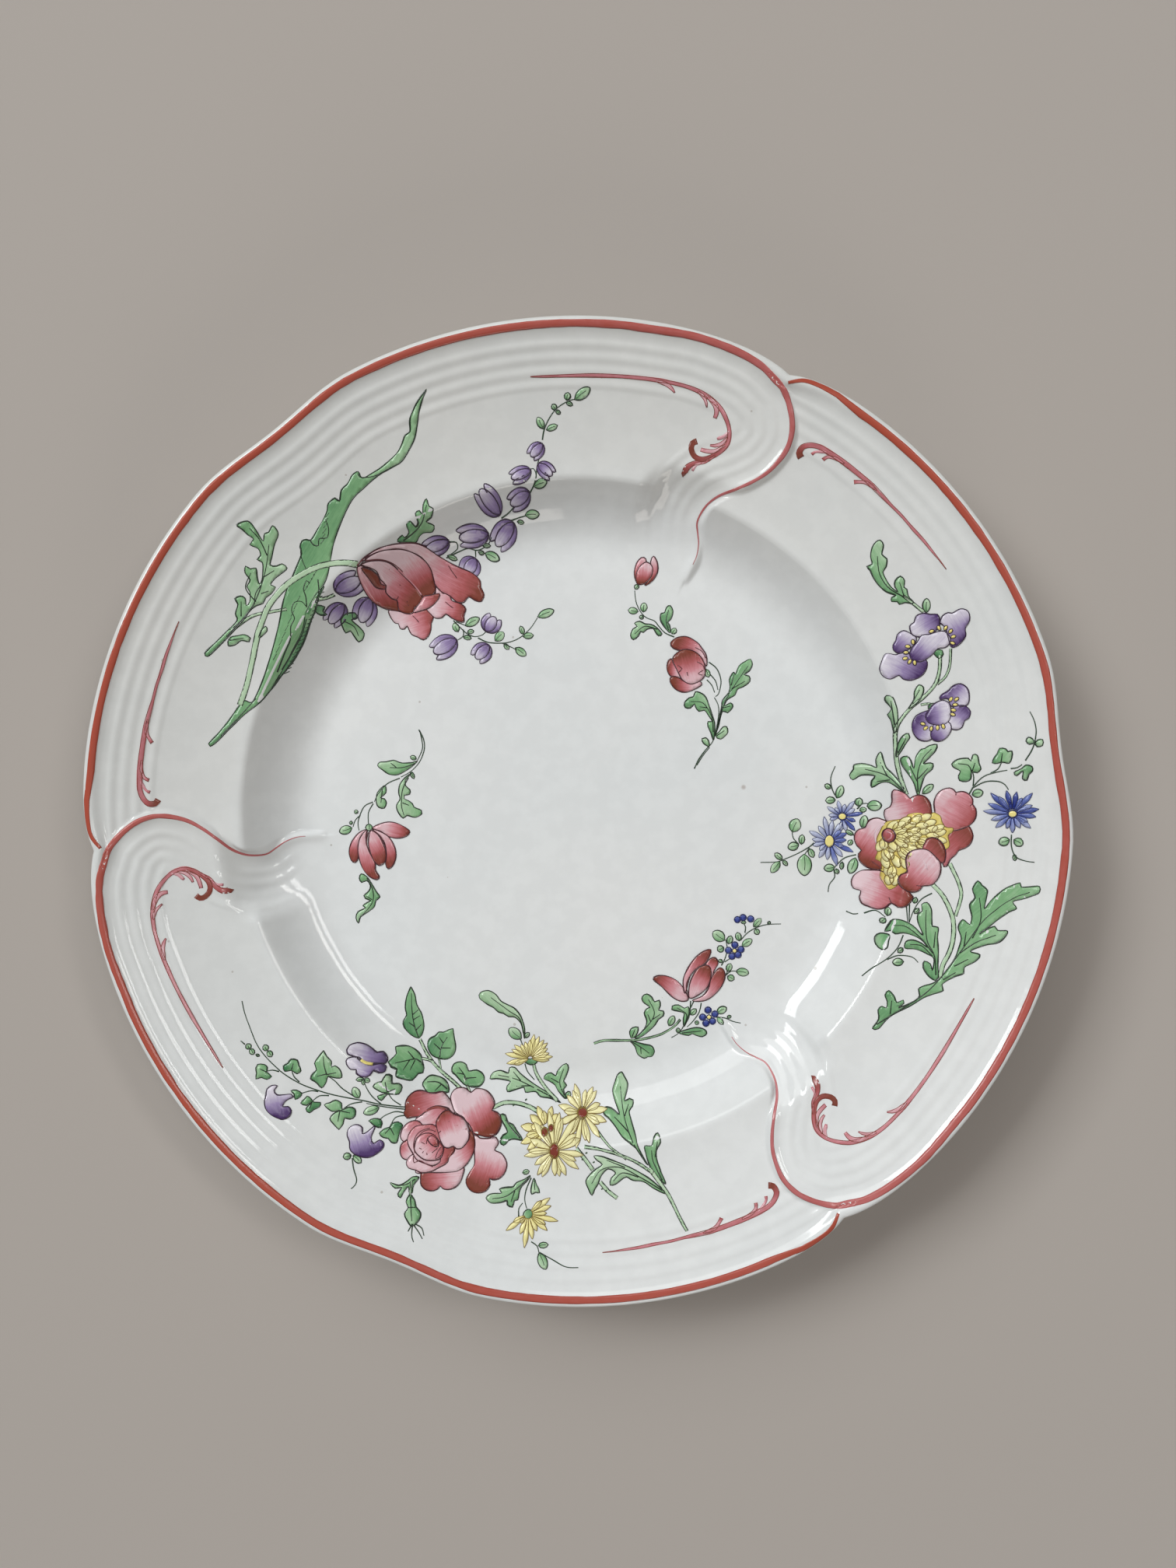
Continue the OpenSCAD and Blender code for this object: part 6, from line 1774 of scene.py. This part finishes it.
p = Paint("top_sprig_bloom", "crimson_enamel", "top_sprig_bloom")
p.level = BLOOM_LEVEL
petals(p, [
    ([(24, 91), (22.8, 94), (23.6, 98), (25.6, 100.3), (27.3, 99.8), (27.2, 97)], (23.4, 92),
     (26, 99.4)),
    ([(27, 89.6), (30, 91.4), (32, 95), (31.8, 98.4), (30.3, 100.7), (29.2, 98.6), (29.6, 94)],
     (29, 91.4), (31, 99)),
    ([(24, 90.2), (23.5, 93.4), (24.8, 96.7), (27.4, 98.6), (29.7, 97.2), (30, 94.4), (28.6, 91.8),
      (26.5, 90.2)], (26, 90.6), (26.6, 97)),
    ([(38.4, 60.6), (36.3, 60.2), (35.7, 57), (36.8, 54.4), (38.5, 53.7), (41, 53.4), (41, 57)],
     (36.4, 57), (40, 56.4)),
    ([(49.4, 50.7), (46, 48.6), (42.5, 47.7), (39, 49), (37, 51.8), (37.4, 53.8), (40, 53.6),
      (42.5, 52), (45.5, 51.4), (48.5, 52)], (39, 50.4), (47, 50.4)),
    ([(51.2, 58), (51.2, 62), (49.5, 64.9), (47.5, 67.3), (43.5, 69.5), (39.5, 69.1), (37.1, 67),
      (38.2, 65), (41.5, 64), (45, 64.2), (48.5, 62)], (39.6, 67), (50, 62)),
    ([(50.8, 56), (50.3, 59.4), (48.5, 62.2), (45.5, 64.1), (42, 64.4), (39, 62.6), (37.9, 60.3),
      (39.2, 57.4), (40.4, 55), (42, 52.4), (45, 50.9), (48.5, 52), (50.4, 54)], (42, 62.5),
     (44.4, 52.4))
], 0.2, 0.85, 0.4)
creases(p, (
    [(40, 58.2), (41.6, 57), (40.4, 55.6)], [(49.6, 54.4), (48, 55), (50, 56.4)],
    [(43.6, 55.6), (43.9, 54.2)], [(46.8, 65.2), (49.4, 63.8), (51, 61)],
    [(47.6, 59.6), (49.8, 58.4), (50.6, 56.6)]
), 0.85, 0.18)
p.done()

p = Paint("low_sprig_leaves", "green_enamel", "low_sprig_leaves")
stem(p, [
    (7, -91.8), (11, -90.6), (17, -90.5), (23, -90.4), (28, -89.6), (33, -88.2), (37, -86.2),
    (39.5, -84.2), (41.3, -82)
], 0.8, 0.6, 0.3)
twig(p,
    [(45.4, -74.6), (45, -79), (43, -84), (40.6, -87.5), (37.8, -89.3)],
    [(46.6, -74.8), (45.4, -77.4)], [(57.5, -60.4), (58.8, -58), (59.8, -54), (59.2, -50)],
    [(65, -50.4), (68, -47.2), (72, -45), (76, -44), (81, -43.8)],
    [(66.8, -47.4), (67, -45), (66.2, -43.6)], [(59, -64.4), (61.5, -62.6), (63.6, -62.8)],
    [(49.6, -75.4), (48.8, -79), (46.4, -82.6), (44, -85)],
    [(55.6, -81), (59, -81.2), (62, -82.4), (65, -82.9)], [(58.8, -59), (61, -57.6)],
    [(59.8, -62.8), (59.4, -64.4)])
leaf(p, [
    (23.4, -89.6), (26, -87), (27.5, -85), (28, -82.5), (27, -79.5), (28, -77.8), (29.3, -77.2),
    (26.5, -75), (26.2, -73), (28, -71.9), (30, -73.1), (31.1, -75), (33, -74.4), (33.4, -76.5),
    (32.8, -78.4), (34.6, -78.7), (34.6, -80.5), (32.6, -82), (31.5, -84), (29, -86.6), (26, -88.9)
], [
    [(24.6, -88.6), (29.6, -83), (31, -79), (28.6, -74)], [(30.4, -82), (33.4, -80)],
    [(29.6, -83), (28.4, -80)]
], 0.45)
leaf(p, [
    (21.4, -90.6), (23.4, -93), (24.4, -96), (27, -97.6), (28.4, -97), (30, -96.9), (31.1, -95),
    (30, -92.7), (27, -92), (24, -91.2)
], [[(22, -91), (26, -93.4), (29, -95.6)], [(25.6, -93.2), (25.8, -96)]], 0.45)
leaf(p, [(21.8, -89.6), (21.2, -87), (22.4, -85.4), (24.6, -85.2), (24.3, -87.5), (23, -89.4)], [
    [(22.2, -89), (23.4, -86)]
], 0.3)
leaf(p, [
    (42.8, -84.8), (42.5, -81.6), (42.9, -79.6), (41, -78.8), (38, -78.1), (38.1, -76.7),
    (40.5, -76.2), (43, -77.5), (44.5, -76.9), (44.9, -80), (44, -82.6)
], [[(43.2, -84), (43.8, -80), (40, -77.4)]], 0.5)
leaf(p, [
    (40.8, -87.4), (44, -86), (48, -85.2), (51, -86), (51.8, -87.5), (50, -88.8), (47.5, -88.3),
    (46, -87.7), (44.6, -88.4)
], [[(42, -87.4), (49.6, -86.6)]], 0.5)
leaflets(p, [
    (36.8, -84.6, 38.8, -80.6, 2.6), (45.4, -80.2, 47.6, -77.8, 2.2),
    (47.2, -82.8, 48.6, -83.8, 1.6), (55.8, -79.2, 59.6, -77.2, 2.8), (56, -81.2, 58.2, -83.6, 2),
    (59.8, -81, 61.4, -80.4, 1.2), (58.8, -50.4, 54.2, -47, 4.2), (60.2, -51.8, 61.4, -48.6, 2.4),
    (64.6, -50.6, 63.8, -47.2, 2.4), (58.4, -53.2, 56, -54.4, 2.8), (65.6, -52.6, 69.6, -50, 2.8),
    (57.6, -58, 56.8, -59.2, 1.6), (60, -62.8, 61.2, -59.6, 2.4), (60, -64.6, 62.6, -66, 2.6),
    (63.4, -62.6, 68.4, -63.4, 3.2), (70.2, -45, 73.2, -41.6, 2.4), (71, -45.8, 72, -48, 2.2),
    (76, -44, 76.6, -42.8, 1.1), (65.2, -43.2, 67.2, -43.2, 1.2), (40.6, -87.4, 40.4, -85.4, 1.6)
])
p.done()

p = Paint("low_sprig_berries", "blue_enamel", "low_sprig_berries")
p.level = BLOOM_LEVEL
for cx, cy, around in [
    (52.7, -81, [(52.3, -78.2), (50.2, -81), (51.5, -83.4), (54.1, -82.6), (55, -79.8)]),
    (62.7, -54.5, [(62.8, -52.2), (60.3, -54.3), (61.7, -56.7), (64.1, -56.1), (65.2, -54)])
]:
    for x, y in around:
        dot(p, x, y, 1.25, tint=0.75)
    dot(p, cx, cy, 0.95, second=1.0)
for x, y in [(63.8, -42.1), (66, -41.3), (69, -41.8)]:
    dot(p, x, y, 1.25, tint=0.75)
p.done()

p = Paint("low_sprig_bloom", "crimson_enamel", "low_sprig_bloom")
p.level = BLOOM_LEVEL
petals(p, [
    ([(44.5, -73.9), (42.5, -69.4), (39.5, -66.2), (35.5, -64.6), (32, -64.6), (30.6, -66),
      (34, -69), (38, -72.9), (41.5, -74.7)], (32, -65.4), (41, -71.5)),
    ([(51, -60.4), (53, -57.8), (55, -57.2), (56.3, -59.5), (54.6, -62.5), (53.6, -66),
      (51.4, -63)], (55.6, -58.6), (53, -63)),
    ([(43.2, -71.5), (42.4, -66.5), (44, -62), (47, -57.5), (50.5, -54.7), (53.3, -54.1),
      (52.9, -56.5), (51, -59.6), (47.5, -61.9), (45, -65)], (51.6, -55.8), (44, -68)),
    ([(46.1, -74.4), (50, -72.6), (52.4, -69.5), (53.4, -66), (55, -63), (57, -61.2), (58.6, -62.4),
      (58.9, -65.5), (57, -69.6), (53.5, -73.1), (50, -74.6)], (57.6, -64), (50, -73)),
    ([(45, -73.4), (44.8, -69), (46, -65), (48.4, -61.4), (51.5, -60.2), (53.3, -61.5), (53.4, -65),
      (52, -69), (48.5, -72.1)], (51, -62), (47.6, -70.6))
], 0.22, 0.75, 0.4)
p.stroke([(44.4, -71.8), (43.6, -68.4), (44.8, -65)], 0.3, ink=0.85, lift=0.18)
p.done()

# ---------------------------------------------------------------- floor, lights, camera

floor = make_mesh("floor", [(-3, -3, 0), (3, -3, 0), (3, 3, 0), (-3, 3, 0)], [[0, 1, 2, 3]],
                  smooth=False)
floor.location.z = -0.0002
fm, _, fb = material("pale_floor")
fb.inputs["Base Color"].default_value = (0.46, 0.42, 0.39, 1)
fb.inputs["Roughness"].default_value = 0.9
floor.data.materials.append(fm)


def area_light(name, direction, distance_m, size, power, colour):
    """A rectangular light that faces the dish from the given direction."""
    data = bpy.data.lights.new(name, "AREA")
    data.shape = "RECTANGLE"
    data.size, data.size_y = size
    data.energy = power
    data.color = colour
    obj = bpy.data.objects.new(name, data)
    d = Vector(direction).normalized()
    obj.location = d * distance_m + Vector((0, 0, 0.03))
    obj.rotation_mode = "QUATERNION"
    obj.rotation_quaternion = d.to_track_quat("Z", "Y")
    bpy.context.scene.collection.objects.link(obj)


for pane in (0, 1):             # a window of two panes, each a light above and one below
    for row, height in enumerate((0.74, 1.03)):
        turned = rot((-0.70, 0.64), 2.0 + 14.0 * pane)
        area_light("window_%d_%d" % (pane + 1, row), (*turned, height), 8.0, (1.7, 1.25), 73,
                   (0.975, 1.0, 1.0))
area_light("room_upper", (-0.38, 0.86, 0.80), 8.0, (5.0, 4.0), 158, (0.985, 1.0, 0.99))
area_light("skylight", (0.383, 0.179, 0.906), 4.0, (1.2, 0.45), 13, (1.0, 1.0, 0.99))
area_light("window_right", (0.522, 0.326, 0.788), 8.0, (3.2, 0.9), 78, (1.0, 0.985, 0.95))
area_light("room_low", (0.20, -0.92, 0.40), 8.0, (3.0, 2.4), 76, (1.0, 0.94, 0.87))
area_light("ceiling", (0.0, 0.0, 1.0), 2.6, (2.6, 2.0), 3.8, (0.97, 1.0, 1.0))

world = bpy.data.worlds.new("studio")
world.use_nodes = True
world.node_tree.nodes["Background"].inputs[0].default_value = (1.0, 0.92, 0.84, 1)
world.node_tree.nodes["Background"].inputs[1].default_value = 0.11
bpy.context.scene.world = world
bpy.context.scene.view_settings.view_transform = "Standard"

cam_data = bpy.data.cameras.new("camera")
cam_data.sensor_width = 36
cam_data.sensor_fit = "AUTO"
cam_data.lens = 27.05
camera = bpy.data.objects.new("camera", cam_data)
camera_at = Vector((0.0147, 0.0258, 0.4746))
forward = Vector((-0.02155, -0.03064, -0.99930)).normalized()
up = Vector((-0.00066, 0.99953, -0.03063))
right = forward.cross(up).normalized()
up = right.cross(forward)
turned_to = Matrix((right, up, -forward)).transposed().to_4x4()
camera.matrix_world = Matrix.Translation(camera_at) @ turned_to
bpy.context.scene.collection.objects.link(camera)
bpy.context.scene.camera = camera
